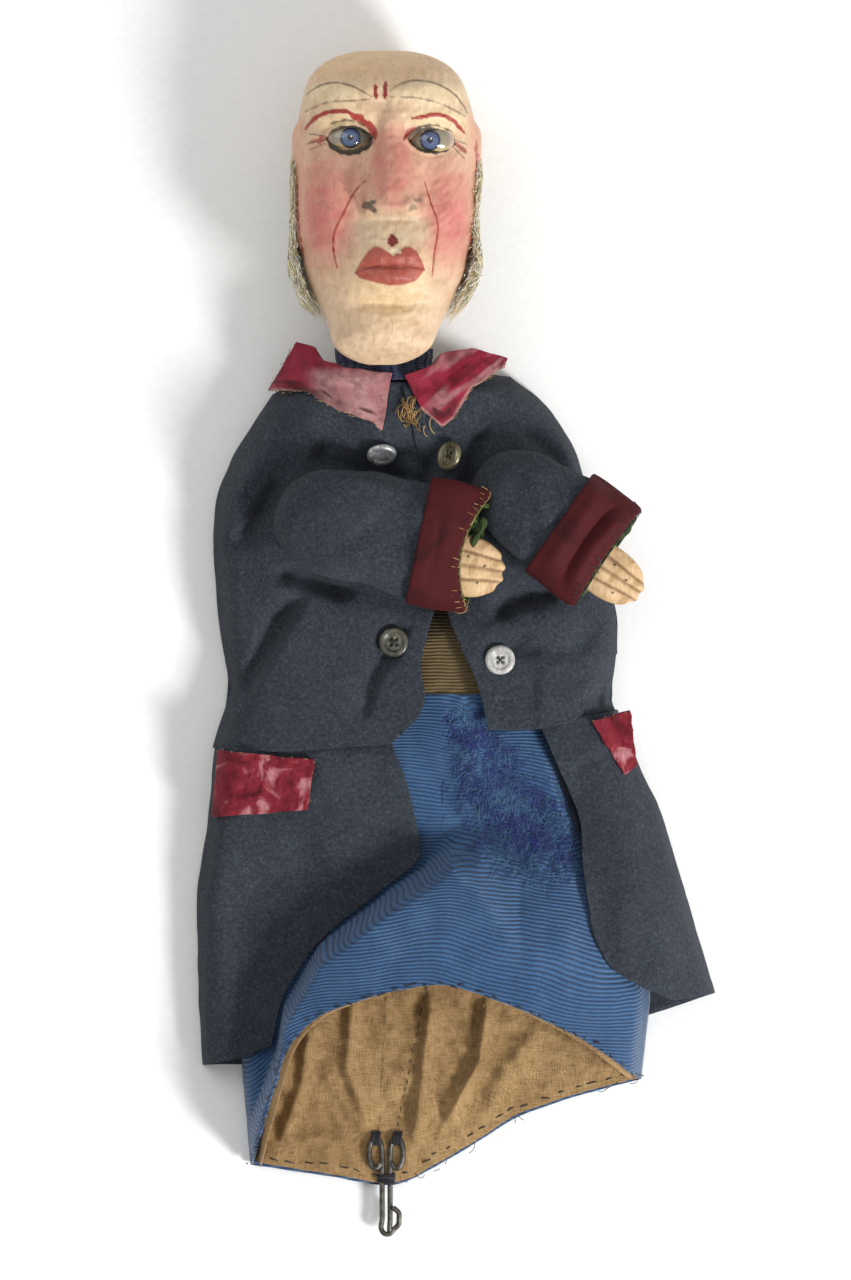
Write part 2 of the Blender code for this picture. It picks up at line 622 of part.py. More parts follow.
def make_glove():
    chest = unit(CHEST_RIGHT_SIDE)[::-1] + unit(CHEST_LEFT_SIDE)
    flat_panel("glove_chest_back", chest, GLOVE_BACK_Z, GLOVE_CLOTH, "brown_rep")
    right, left = unit(GLOVE_RIGHT_SIDE), unit(GLOVE_LEFT_SIDE)
    hem = unit(FRONT_HEM)
    cloth_panel("glove_skirt_front", [right[0], left[0]], hem, right, left, skirt_base, GLOVE_CLOTH, "blue_rep", rows=13, columns=15)
    back = right[::-1] + left + unit(BACK_HEM[1:-1])
    flat_panel("glove_skirt_back", back, GLOVE_BACK_Z, GLOVE_CLOTH, "blue_rep")
    flat_panel("lining_back", inset(back, 0.05), LINING_BACK_Z, LINING_CLOTH, "linen")
    inner = 13 * ACROSS
    in_right = [(x + inner, y) for x, y in right[:-1]] + [unit(FRONT_HEM)[1]]
    in_right[-1] = (in_right[-1][0] + inner / 2, in_right[-1][1] + 4 * ALONG)
    in_left = [(x - 1.7 * inner, y) for x, y in left[:-1]] + [(hem[-2][0] + inner / 3, hem[-2][1] + 3 * ALONG)]
    in_hem = [in_right[-1]] + [(x, y + 1.5 * ALONG) for x, y in hem[2:-2]] + [in_left[-1]]
    cloth_panel("lining_front", [in_right[0], in_left[0]], in_hem, in_right, in_left, lining_height, LINING_CLOTH, "linen", rows=13, columns=15)


def make_hook():
    """A bent wire with two sewn eyes, a doubled shank and a curled end. It turns on the runs sewn to the hem."""
    (x0, y0), = unit([HOOK_AT])
    z = LINING_TOP_Z + GAP / 2 + WIRE_RADIUS
    half = WIRE_RADIUS + 0.6 * MM
    loop = HOOK_LOOP_RADIUS
    run = 2.4 * MM
    path = []
    for side in (-1, 1):
        eye = Vector((x0 + side * (half + loop), y0 - loop, z))
        arm = []
        for degrees in range(-40, 91, 26):
            turn = math.radians(degrees)
            arm.append(eye + Vector((side * loop * math.cos(turn) + side * run / 2, loop * math.sin(turn), 0)))
        for degrees in range(90, 181, 18):
            turn = math.radians(degrees)
            arm.append(eye + Vector((side * loop * math.cos(turn) - side * 0, loop * math.sin(turn), 0)))
        arm.append(Vector((x0 + side * half, y0 - HOOK_SHANK, z)))
        if side < 0:
            path += arm
        else:
            other = arm[::-1]
    bend = Vector((x0, y0 - HOOK_SHANK, z))
    for degrees in range(200, 341, 20):
        turn = math.radians(degrees)
        path.append(bend + Vector((half * math.cos(turn), 2 * half * math.sin(turn), 0)))
    path += other
    hook = wire("hanging_hook", [tuple(place) for place in path], WIRE_RADIUS, "iron_wire")
    pivot = Vector((x0, y0, z))
    for point in hook.data.splines[0].points:
        point.co = (*(Vector(point.co[:3]) - pivot), 1)
    hook.location = pivot
    reach = WIRE_RADIUS + THREAD_RADIUS + GAP / 2
    for name, side in (("hook_lashing_right", -1), ("hook_lashing_left", 1)):
        x = x0 + side * (half + loop + run / 4)
        arc = [(x, y0 - reach, LINING_TOP_Z + GAP / 2)]
        for degrees in range(180, -1, -20):
            turn = math.radians(degrees)
            arc.append((x, y0 + reach * math.cos(turn), z + reach * math.sin(turn)))
        arc.append((x, y0 + reach, LINING_TOP_Z + GAP / 2))
        wire(name, arc, THREAD_RADIUS, "black_thread", 1)


# ---------------------------------------------------------------- arms


def arm_frame(arm):
    """The arm's own frame: x along it from the armhole, y across it, z out of the chest."""
    return Matrix.Translation((arm["x"], arm["y"], ARM_Z)) @ Matrix.Rotation(math.radians(arm["angle"]), 4, "Z")


def tube(name, arm, start, end, half_width, half_height, wall, material, drop=0.0, segments=24, taper=1.0, slant=0.0):
    """An oval tube along an arm, with half_width and half_height at its outer face. A slant sets its top back at the start."""
    bm = bmesh.new()
    bmesh.ops.create_cone(bm, cap_ends=False, segments=segments, radius1=1, radius2=1, depth=1)
    bmesh.ops.subdivide_edges(bm, edges=[edge for edge in bm.edges if abs(edge.verts[0].co.z - edge.verts[1].co.z) > 0.5], cuts=2)
    for vertex in bm.verts:
        share = vertex.co.z + 0.5
        scale = taper + (1 - taper) * share
        cut = start + slant * (1 + vertex.co.y) / 2
        vertex.co = (cut + (end - cut) * share, vertex.co.x * half_width * scale - drop, vertex.co.y * half_height)
    bmesh.ops.transform(bm, matrix=arm_frame(arm), verts=bm.verts)
    obj = add(name, bm, material)
    middle = arm_frame(arm) @ Vector(((start + end) / 2, -drop, 0))
    if sum((face.center - middle).dot(face.normal) for face in obj.data.polygons) < 0:
        obj.data.flip_normals()
    solidify(obj, wall)
    return obj


def make_hand(side, arm, wrist):
    """A carved mitten hand with grooves between its fingers, on a wrist plug that fits the finger stall."""
    bm = bmesh.new()
    bmesh.ops.create_uvsphere(bm, u_segments=20, v_segments=12, radius=1)
    plug = WRIST_DEPTH / (HAND_LENGTH + WRIST_DEPTH)
    plug_radius = STALL_RADIUS - GLOVE_CLOTH - 0.5 * MM
    for vertex in bm.verts:
        share = 0.5 + math.asin(max(-1, min(1, vertex.co.z))) / math.pi
        angle = math.atan2(vertex.co.y, vertex.co.x)
        ends = min(1.0, (share * (1 - share) * 14)) ** 0.5
        palm = float(smooth_step((share - plug) / 0.2))
        width = plug_radius + (HAND_HALF_WIDTH - plug_radius) * palm
        height = plug_radius * 0.8 + (HAND_HALF_HEIGHT - plug_radius * 0.8) * palm
        y = ends * width * math.cos(angle)
        groove = 1 - 0.16 * float(smooth_step((share - 0.6) / 0.1)) * (0.5 + 0.5 * math.cos(8 * math.pi * y / (2 * HAND_HALF_WIDTH)))
        z = ends * height * math.sin(angle) * groove
        x = wrist + (HAND_LENGTH + WRIST_DEPTH) * share
        vertex.co = arm_frame(arm) @ Vector((x, y - STALL_DROP, z))
    return add("hand_" + side, bm, "bare_wood")


def make_arm(side, arm):
    place = Vector((arm["x"], arm["y"], GUSSET_Z))
    gusset = cylinder("armhole_gusset_" + side, ARMHOLE_RADIUS + GUSSET_WIDTH, place, place + Vector((0, 0, GUSSET_THICKNESS)), "coat_felt", 40)
    hole = cylinder(f"gusset_hole_{side}", ARMHOLE_RADIUS, place - Vector((0, 0, GAP)), place + Vector((0, 0, GUSSET_THICKNESS + GAP)), "coat_felt", 32)
    boolean(gusset, as_cutter(hole), "DIFFERENCE")
    set_origin(gusset, place)
    end = arm["sleeve"]
    start = 2 * MM
    hem = end + CUFF_HEM
    pieces = [
        tube("sleeve_" + side, arm, start, end, SLEEVE_HALF_WIDTH, SLEEVE_HALF_HEIGHT, SLEEVE_CLOTH, "coat_felt", taper=SLEEVE_TAPER, slant=SLEEVE_SLANT),
        tube("cuff_" + side, arm, hem - CUFF_LENGTH, hem, SLEEVE_HALF_WIDTH + GAP + VELVET, CUFF_HALF_HEIGHT, VELVET, "burgundy_velvet"),
        tube("sleeve_lining_" + side, arm, end - LINING_DEPTH, hem + MM, LINING_HALF_WIDTH, LINING_HALF_HEIGHT, SLEEVE_LINING, "green_print"),
    ]
    stall_height = min(STALL_RADIUS, 0.86 * (LINING_HALF_HEIGHT - SLEEVE_LINING))
    wrist = arm["tip"] - HAND_LENGTH
    pieces.append(tube("finger_stall_" + side, arm, STALL_START, wrist - MM, STALL_RADIUS, stall_height, GLOVE_CLOTH * 0.7, "brown_rep", STALL_DROP, 20))
    pieces.append(make_hand(side, arm, wrist - WRIST_DEPTH))
    hinge = Vector((arm["x"], arm["y"], ARM_Z - SLEEVE_HALF_HEIGHT))
    for obj in pieces:
        set_origin(obj, hinge)


make_coat()
make_glove()
make_trims()
make_arm("right", RIGHT_ARM)
make_arm("left", LEFT_ARM)
make_hook()
make_hair()
make_neck_band()
set_origin(make_head(), (NECK_X, NECK_START_Y, NECK_Z + THROAT_HINGE_RISE))
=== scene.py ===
"""Antique hand puppet lying on its back: the looks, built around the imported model.

Shapes are worked out in millimetres, with +Y to the crown, +X to the puppet's own left and +Z out of its chest, and
are put into meshes in metres. Left and right are the puppet's own.
"""

import json
import logging
import math
from dataclasses import dataclass
from enum import Enum

import bpy
import numpy as np
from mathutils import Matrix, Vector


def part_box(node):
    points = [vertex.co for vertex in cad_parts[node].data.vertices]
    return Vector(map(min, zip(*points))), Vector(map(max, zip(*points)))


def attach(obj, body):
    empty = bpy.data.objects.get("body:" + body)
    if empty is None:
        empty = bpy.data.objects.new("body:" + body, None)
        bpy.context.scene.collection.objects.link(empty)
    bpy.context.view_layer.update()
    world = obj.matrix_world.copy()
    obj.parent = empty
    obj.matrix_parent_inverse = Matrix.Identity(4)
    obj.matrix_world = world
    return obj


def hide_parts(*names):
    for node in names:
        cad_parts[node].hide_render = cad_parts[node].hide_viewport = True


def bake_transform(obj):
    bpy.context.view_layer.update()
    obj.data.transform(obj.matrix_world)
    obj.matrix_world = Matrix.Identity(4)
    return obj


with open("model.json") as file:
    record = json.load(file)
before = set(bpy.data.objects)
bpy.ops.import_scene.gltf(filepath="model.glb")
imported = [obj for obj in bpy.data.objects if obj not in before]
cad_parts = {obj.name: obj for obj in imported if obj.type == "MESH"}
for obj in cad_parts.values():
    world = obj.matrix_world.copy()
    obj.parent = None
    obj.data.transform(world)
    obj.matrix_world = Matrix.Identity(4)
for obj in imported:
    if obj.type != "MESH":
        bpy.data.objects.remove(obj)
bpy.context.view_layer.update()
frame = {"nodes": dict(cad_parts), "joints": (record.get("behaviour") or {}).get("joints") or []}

logging.basicConfig(level=logging.INFO, format="%(message)s")
LOG = logging.getLogger("hand_puppet")

MM = 0.001
TRUNK = "coat_and_glove"
Array = np.ndarray
Points = list[tuple[float, ...]]
Stops = list[tuple[float, str]] | tuple[()]
Socket = bpy.types.NodeSocket
Object = bpy.types.Object

# ---------------------------------------------------------------- numbers and curves


def smooth(value: Array) -> Array:
    """An S-shaped step: 0 below 0, 1 above 1, and 3t^2 - 2t^3 between."""
    value = np.clip(value, 0, 1)
    return value * value * (3 - 2 * value)


def quarter(inside: Array) -> Array:
    """A quarter circle from 0 at an edge to 1 one unit inside it."""
    return np.sqrt(1 - (1 - np.clip(inside, 0, 1)) ** 2)


def domed(inside: Array, power: float) -> Array:
    """A rounded end from 0 at an edge to 1 one unit inside it, squarer where the power is higher."""
    return (1 - (1 - np.clip(inside, 0, 1)) ** power) ** (1 / power)


def squared(wave: Array, power: float) -> Array:
    """A sine or cosine raised to a power with its sign kept, which squares off the oval that it draws."""
    return np.sign(wave) * np.abs(wave) ** power


def circle(count: int) -> Array:
    """Angles spread evenly round a full turn, in radians."""
    return 2 * math.pi * np.arange(count) / count


def resample(points: Array | Points, share: Array) -> Array:
    """Points at shares of a polyline's length.

    Args:
        points: The polyline's corners, in two or three dimensions.
        share: Where to read it, from 0 to 1 of its length.

    Returns:
        One point for each share.
    """
    points = np.asarray(points, float)
    length = np.concatenate([[0], np.cumsum(np.linalg.norm(np.diff(points, axis=0), axis=1))])
    return np.stack([np.interp(share * length[-1], length, column) for column in points.T], axis=-1)


def rounded(points: Array | Points, count: int, blur: float = 0.04) -> Array:
    """A polyline read at equal steps and averaged over a short reach, which rounds its corners and keeps its ends.

    Args:
        points: The polyline's corners.
        count: How many points to return.
        blur: The reach of the average, as a share of the length.

    Returns:
        The rounded polyline.
    """
    share = np.linspace(0, 1, count)
    reach = np.minimum(blur, np.minimum(share, 1 - share))
    steps = [resample(points, np.clip(share + reach * offset, 0, 1)) for offset in (-1, -0.5, 0, 0.5, 1)]
    return sum(steps) / len(steps)


def ripple(x: Array, y: Array, seed: int, size: float, waves: int = 9) -> Array:
    """Uneven swells from -1 to 1: a mean of plane sine waves of scattered directions and lengths near one size.

    Args:
        x: First coordinate, in mm.
        y: Second coordinate, in mm.
        seed: Picks the waves.
        size: Their usual length, in mm.
        waves: How many are summed.

    Returns:
        The height of the swell at each place.
    """
    draw = np.random.default_rng(seed)
    total = np.zeros(np.broadcast(x, y).shape)
    for _ in range(waves):
        turn, length, phase = draw.uniform(0, math.pi), size * draw.uniform(0.6, 1.7), draw.uniform(0, 2 * math.pi)
        total += np.sin(2 * math.pi * (x * math.cos(turn) + y * math.sin(turn)) / length + phase)
    return total / math.sqrt(waves)


def to_path(x: Array, y: Array, path: Points) -> tuple[Array, Array, Array]:
    """The distance from each place to a polyline, the share of the polyline's length there, and the side of it.

    Args:
        x: First coordinate.
        y: Second coordinate.
        path: The polyline's corners.

    Returns:
        Distance, share, and +1 on the polyline's left-hand side or -1 on its right.
    """
    best, share, side = np.full(x.shape, 1e9), np.zeros(x.shape), np.ones(x.shape)
    ends = np.asarray(path, float)
    length = np.concatenate([[0], np.cumsum(np.hypot(*np.diff(ends, axis=0).T))])
    for index, (a, b) in enumerate(zip(ends[:-1], ends[1:])):
        run = b - a
        t = np.clip(((x - a[0]) * run[0] + (y - a[1]) * run[1]) / (run @ run), 0, 1)
        away = np.hypot(x - a[0] - t * run[0], y - a[1] - t * run[1])
        near = away < best
        best = np.where(near, away, best)
        share = np.where(near, (length[index] + t * (length[index + 1] - length[index])) / length[-1], share)
        side = np.where(near, np.sign(run[0] * (y - a[1]) - run[1] * (x - a[0]) + 1e-9), side)
    return best, share, side


@dataclass(frozen=True)
class Fold:
    """A fold in cloth: a ridge, or a valley where it is negative, along a line.

    Its section is a bell whose two flanks may differ, and it fades out at both ends.
    """

    path: tuple[tuple[float, float], ...]
    height: float
    width: float
    steep: float = 1.0

    def at(self, x: Array, y: Array) -> Array:
        """The fold's height at each place, in mm."""
        away, share, side = to_path(x, y, list(self.path))
        width = np.where(side > 0, self.width, self.width * self.steep)
        return (
            self.height * np.exp(-((away / width) ** 2)) * smooth(share / 0.25 + 0.15)
            * smooth((1 - share) / 0.25 + 0.15)
        )


# ---------------------------------------------------------------- meshes


def grid_uv(points: Array, wrap: bool) -> Array:
    """Cloth coordinates in metres: the arc length along the rows and down the columns, from the middle of the piece.

    Args:
        points: The grid in mm, rows by columns by 3.
        wrap: Whether the last column joins the first.

    Returns:
        Rows by columns (one more where it wraps) by 2.
    """
    loop = np.concatenate([points, points[:, :1]], axis=1) if wrap else points
    across = np.cumsum(np.linalg.norm(np.diff(loop, axis=1, prepend=loop[:, :1]), axis=2), axis=1)
    down = np.cumsum(np.linalg.norm(np.diff(loop, axis=0, prepend=loop[:1]), axis=2), axis=0)
    return np.stack([across - across[:, -1:] / 2, -down], axis=-1) * MM


def mesh_object(name: str, points: Array, faces: list[Array], uvs: list[Array] | None, finish: "Finish") -> Object:
    """Puts points and faces into a mesh object at the origin.

    Args:
        name: The piece's name.
        points: Corner places in mm.
        faces: Blocks of faces, each an array of corner numbers with one row per face.
        uvs: For each block, the cloth coordinates of each face corner.
        finish: What it is made of.

    Returns:
        The object, linked to the scene.
    """
    mesh = bpy.data.meshes.new(name)
    corners = np.concatenate([block.reshape(-1) for block in faces]).astype(np.int32)
    sizes = np.concatenate([np.full(len(block), block.shape[1]) for block in faces]).astype(np.int32)
    mesh.vertices.add(len(points))
    mesh.vertices.foreach_set("co", (points * MM).astype(np.float32).ravel())
    mesh.loops.add(len(corners))
    mesh.loops.foreach_set("vertex_index", corners)
    mesh.polygons.add(len(sizes))
    mesh.polygons.foreach_set("loop_start", (np.cumsum(sizes) - sizes).astype(np.int32))
    mesh.polygons.foreach_set("use_smooth", np.ones(len(sizes), bool))
    mesh.update(calc_edges=True)
    if uvs is not None:
        layer = mesh.uv_layers.new(name="cloth")
        layer.data.foreach_set("uv", np.concatenate([block.reshape(-1) for block in uvs]).astype(np.float32))
    mesh.validate()
    mesh.materials.append(finish.material())
    obj = bpy.data.objects.new(name, mesh)
    bpy.context.scene.collection.objects.link(obj)
    return obj


def surface(
    name: str, points: Array, finish: "Finish", wrap: bool = False, ring: bool = False, caps: bool = False,
    uv: Array | None = None
) -> Object:
    """A surface from a grid of points whose rows run down and whose columns run to the left, seen from outside.

    Args:
        name: The piece's name.
        points: Rows by columns by 3, in mm.
        finish: What it is made of.
        wrap: Joins the last column to the first.
        ring: Joins the last row to the first.
        caps: Closes the first and last rows with fans.
        uv: Cloth coordinates of each point, where the arc lengths don't serve.

    Returns:
        The object.
    """
    if ring:
        points = points[:-1] if np.allclose(points[0], points[-1]) else points
    rows, columns = points.shape[:2]
    number = np.arange(rows * columns).reshape(rows, columns)
    if ring:
        number = np.concatenate([number, number[:1]])
        closed = np.concatenate([points, points[:1]])
    else:
        closed = points
    if wrap:
        number = np.concatenate([number, number[:, :1]], axis=1)
    if uv is None:
        uv = grid_uv(closed, wrap)
    faces = [np.stack([number[:-1, :-1], number[1:, :-1], number[1:, 1:], number[:-1, 1:]], axis=-1).reshape(-1, 4)]
    uvs = [np.stack([uv[:-1, :-1], uv[1:, :-1], uv[1:, 1:], uv[:-1, 1:]], axis=-2).reshape(-1, 2)]
    flat = points.reshape(-1, 3)
    if caps:
        for row, order in ((0, (0, 1)), (-1, (1, 0))):
            middle = np.full(number.shape[1] - 1, len(flat))
            flat = np.concatenate([flat, points[row].mean(axis=0)[None]])
            pair = (number[row, :-1], number[row, 1:])
            edge = (uv[row, :-1], uv[row, 1:])
            faces.append(np.stack([pair[order[0]], pair[order[1]], middle], axis=-1))
            uvs.append(np.stack([edge[order[0]], edge[order[1]], (edge[0] + edge[1]) / 2], axis=-2).reshape(-1, 2))
    return mesh_object(name, flat, faces, uvs, finish)


def strands(
    name: str, paths: Array, radius: Array | float, finish: "Finish", sides: int = 3, tint: Array | None = None
) -> Object:
    """Many thin closed tubes in one mesh, each round a path of its own.

    The tube's ring at a point lies in the plane square to the path there, turned from the upright direction.

    Args:
        name: The piece's name.
        paths: Strands by points by 3, in mm.
        radius: One radius in mm, or one for each strand and point.
        finish: What it is made of.
        sides: Sides of each tube.
        tint: A shade from 0 to 1 for each strand.

    Returns:
        The object.
    """
    count, steps = paths.shape[:2]
    along = np.gradient(paths, axis=1)
    along /= np.linalg.norm(along, axis=2, keepdims=True) + 1e-9
    upright = np.where(np.abs(along[..., 2:]) > 0.9, np.array([1.0, 0, 0]), np.array([0, 0, 1.0]))
    out = np.cross(along, upright)
    out /= np.linalg.norm(out, axis=2, keepdims=True)
    up = np.cross(out, along)
    turn = circle(sides)
    size = np.broadcast_to(np.asarray(radius, float), (count, steps))[..., None, None]
    rings = paths[:, :, None] + size * (
        out[:, :, None] * np.cos(turn)[:, None] + up[:, :, None] * np.sin(turn)[:, None]
    )
    number = np.arange(count * steps * sides).reshape(count, steps, sides)
    after = np.roll(number, -1, axis=2)
    quads = np.stack([number[:, :-1], after[:, :-1], after[:, 1:], number[:, 1:]], axis=-1).reshape(-1, 4)
    ends = [number[:, 0, ::-1].reshape(-1, sides), number[:, -1].reshape(-1, sides)]
    length = np.cumsum(np.linalg.norm(np.diff(paths, axis=1, prepend=paths[:, :1]), axis=2), axis=1)[..., None] * MM
    uv = np.stack(np.broadcast_arrays(np.arange(sides) / sides, length), axis=-1).reshape(-1, 2)
    blocks = [quads] + ends
    obj = mesh_object(name, rings.reshape(-1, 3), blocks, [uv[block.ravel()] for block in blocks], finish)
    shade = np.repeat(tint if tint is not None else np.linspace(0, 1, count), steps * sides)
    attribute(obj, "tint", np.stack([shade] * 3, axis=-1))
    return obj


def attribute(obj: Object, name: str, colours: Array) -> None:
    """Stores a linear colour for each corner point of a mesh, under a name that its material reads."""
    data = np.ones((len(obj.data.vertices), 4), np.float32)
    data[: len(colours), :3] = colours
    if len(colours) < len(data):
        data[len(colours) :, :3] = colours[-1]
    obj.data.color_attributes.new(name, "FLOAT_COLOR", "POINT").data.foreach_set("color", data.ravel())


def thicken(obj: Object, depth: float, offset: float = -1.0) -> Object:
    """Gives a sheet its thickness in mm, inwards from its outer face unless the offset says otherwise."""
    modifier = obj.modifiers.new("cloth", "SOLIDIFY")
    modifier.thickness = depth * MM
    modifier.offset = offset
    modifier.use_rim = True
    return obj


# ---------------------------------------------------------------- finishes


def linear(code: str) -> tuple[float, float, float, float]:
    """A colour written as sRGB hex, as linear light."""
    parts = [int(code[i : i + 2], 16) / 255 for i in (1, 3, 5)]
    return (*(c / 12.92 if c <= 0.04045 else ((c + 0.055) / 1.055) ** 2.4 for c in parts), 1.0)


def rgb(code: str) -> Array:
    """The same without its alpha, as an array."""
    return np.array(linear(code)[:3])


def laid(colour: Array, code: str, cover: Array) -> Array:
    """Paints one colour over the colours that points have, where the cover is above 0."""
    return colour * (1 - cover) + rgb(code) * cover


def per(size: float) -> float:
    """The scale of a pattern whose features are this many mm across."""
    return 1 / (size * MM)


class Graph:
    """A material's nodes, with its shader and the two coordinates that patterns read ready to use."""

    def __init__(self, name: str) -> None:
        """Starts a new node material."""
        self.made = bpy.data.materials.new(name)
        self.made.use_nodes = True
        self.tree = self.made.node_tree
        self.shader = self.tree.nodes["Principled BSDF"]
        self.place = self.add("TexCoord", out="Object")
        self.cloth = self.place.node.outputs["UV"]

    def add(
        self, kind: str, inputs: dict | None = None, out: int | str = 0, stops: Stops = (), **settings: object
    ) -> Socket:
        """Adds one node.

        Args:
            kind: The node's type, without its ShaderNode prefix.
            inputs: Links, values or sRGB hex codes for its sockets, by name or number. A pattern reads the object's
                own coordinates unless it is given others.
            out: The output to return, by name or number.
            stops: A colour ramp's stops, each a place from 0 to 1 and an sRGB hex code.
            settings: Its other properties.

        Returns:
            The output.
        """
        node = self.tree.nodes.new("ShaderNode" + kind)
        inputs = inputs or {}
        if kind in ("TexNoise", "TexVoronoi"):
            inputs = {"Vector": self.place, **inputs}
        for key, value in settings.items():
            setattr(node, key, value)
        if stops:
            for _ in stops[2:]:
                node.color_ramp.elements.new(0.5)
            for element, (spot, code) in zip(node.color_ramp.elements, stops):
                element.position, element.color = spot, linear(code)
        for key, value in inputs.items():
            if isinstance(value, Socket):
                self.tree.links.new(value, node.inputs[key])
            else:
                node.inputs[key].default_value = linear(value) if isinstance(value, str) else value
        return node.outputs[out]

    def shaded(self, colour: Socket, *layers: tuple[float, Socket, Stops]) -> Socket:
        """Multiplies patterns over a colour, each with its strength and the stops that turn it into a tone."""
        for strength, pattern, stops in layers:
            tone = self.add("ValToRGB", {0: pattern}, stops=stops)
            colour = self.add("Mix", {0: strength, 6: colour, 7: tone}, 2, data_type="RGBA", blend_type="MULTIPLY")
        return colour

    def finish(
        self, colour: Socket, height: Socket, depth: float, values: dict, rough: Socket | None = None
    ) -> bpy.types.Material:
        """Links colour and bump to the shader and sets its constants.

        Args:
            colour: The base colour.
            height: The bump's height, from 0 to 1.
            depth: How deep that is, in mm.
            values: Shader sockets and their values.
            rough: A varying roughness.

        Returns:
            The material.
        """
        bump = self.add("Bump", {"Height": height, "Distance": depth * MM, "Strength": 1.0})
        for key, link in (("Normal", bump), ("Base Color", colour), ("Roughness", rough)):
            if link is not None:
                self.tree.links.new(link, self.shader.inputs[key])
        for key, value in values.items():
            self.shader.inputs[key].default_value = value
        return self.made


@dataclass(frozen=True)
class Finish:
    """What a piece is made of. Each kind of finish draws its own nodes."""

    name: str

    def draw(self, g: Graph) -> bpy.types.Material:
        """Builds the nodes."""
        raise NotImplementedError

    def material(self) -> bpy.types.Material:
        """The finish's material, built once."""
        found = bpy.data.materials.get("finish_" + self.name)
        return found or self.draw(Graph("finish_" + self.name))


@dataclass(frozen=True)
class Felt(Finish):
    """Fulled wool: matt, mottled by its mixed fibres, with pale lint and a short nap that catches a grazing light."""

    shade: str
    deep: str
    pale: str

    def draw(self, g: Graph) -> bpy.types.Material:
        """Mottling at three sizes of fibre clump, specks of lint, and a bump of matted fibre."""
        clump = g.add("TexNoise", {"Scale": per(1.7), "Detail": 6.0, "Roughness": 0.8, "Distortion": 0.6})
        fibre = g.add("TexNoise", {"Scale": per(0.42), "Detail": 3.0, "Roughness": 0.8})
        cloud = g.add("TexNoise", {"Scale": per(26), "Detail": 4.0, "Roughness": 0.6})
        lint = g.add("TexNoise", {"Scale": per(3.1), "Detail": 2.0, "Distortion": 2.5})
        body = g.add("ValToRGB", {0: clump}, stops=[(0.3, self.deep), (0.52, self.shade), (0.74, self.pale)])
        body = g.add(
            "Mix",
            {0: g.add("ValToRGB", {0: cloud}, stops=[(0.35, "#000000"), (0.7, "#6A6A6A")]), 6: body, 7: self.pale}, 2,
            data_type="RGBA"
        )
        body = g.shaded(body, (0.75, fibre, [(0.3, "#8E8E8E"), (0.7, "#FFFFFF")]))
        body = g.add(
            "Mix",
            {0: g.add("ValToRGB", {0: lint}, stops=[(0.735, "#000000"), (0.78, "#8A8A8A")]), 6: body, 7: "#9AA0AB"}, 2,
            data_type="RGBA"
        )
        height = g.add("Math", {0: clump, 1: fibre}, operation="ADD")
        return g.finish(
            body, height, 0.35,
            {"Roughness": 0.95, "Sheen Weight": 0.04, "Sheen Roughness": 0.5, "Specular IOR Level": 0.2}
        )


@dataclass(frozen=True)
class Velvet(Finish):
    """Silk pile, crushed and rubbed: deep where the pile stands, pale and dull where it lies flat or is worn away."""

    deep: str
    shade: str
    worn: str
    crush: float
    wear: float

    def draw(self, g: Graph) -> bpy.types.Material:
        """Large distorted patches for the crushed pile, a fine pile bump, and a strong sheen."""
        patch = g.add("TexNoise", {"Scale": per(self.crush), "Detail": 4.0, "Roughness": 0.55, "Distortion": 0.9})
        pile = g.add("TexNoise", {"Scale": per(0.5), "Detail": 2.0, "Roughness": 0.7})
        body = g.add(
            "ValToRGB", {0: patch},
            stops=[(0.28, self.deep), (0.5, self.shade), (0.72 - self.wear, self.shade), (0.86 - self.wear, self.worn)]
        )
        body = g.shaded(body, (0.6, pile, [(0.3, "#A8A8A8"), (0.7, "#FFFFFF")]))
        height = g.add("Math", {0: pile, 1: 0.4, 2: patch}, operation="MULTIPLY_ADD")
        return g.finish(
            body, height, 0.5,
            {
                "Roughness": 0.8, "Sheen Weight": 0.12, "Sheen Roughness": 0.35, "Specular IOR Level": 0.25,
                "Sheen Tint": linear(self.worn)
            }
        )


@dataclass(frozen=True)
class RubbedVelvet(Finish):
    """Velvet worn to its ground in places: rosy and dull where the pile has gone, crimson and dark where it is left,
    with painted shade in its creases.
    """

    def draw(self, g: Graph) -> bpy.types.Material:
        """The wear and the painted shade in the creases come with the piece; crushed patches and a fine pile go
        over it.
        """
        paint = g.add("Attribute", attribute_name="paint")
        patch = g.add("TexNoise", {"Scale": per(7), "Detail": 4.0, "Roughness": 0.6})
        pile = g.add("TexNoise", {"Scale": per(0.6), "Detail": 2.0, "Roughness": 0.7})
        body = g.shaded(
            paint, (0.7, patch, [(0.32, "#9A8A8C"), (0.55, "#FFFFFF")]),
            (0.6, pile, [(0.3, "#A8A8A8"), (0.7, "#FFFFFF")])
        )
        height = g.add("Math", {0: pile, 1: 0.5, 2: patch}, operation="MULTIPLY_ADD")
        return g.finish(
            body, height, 0.5,
            {"Roughness": 0.75, "Sheen Weight": 0.15, "Sheen Roughness": 0.35, "Specular IOR Level": 0.25}
        )


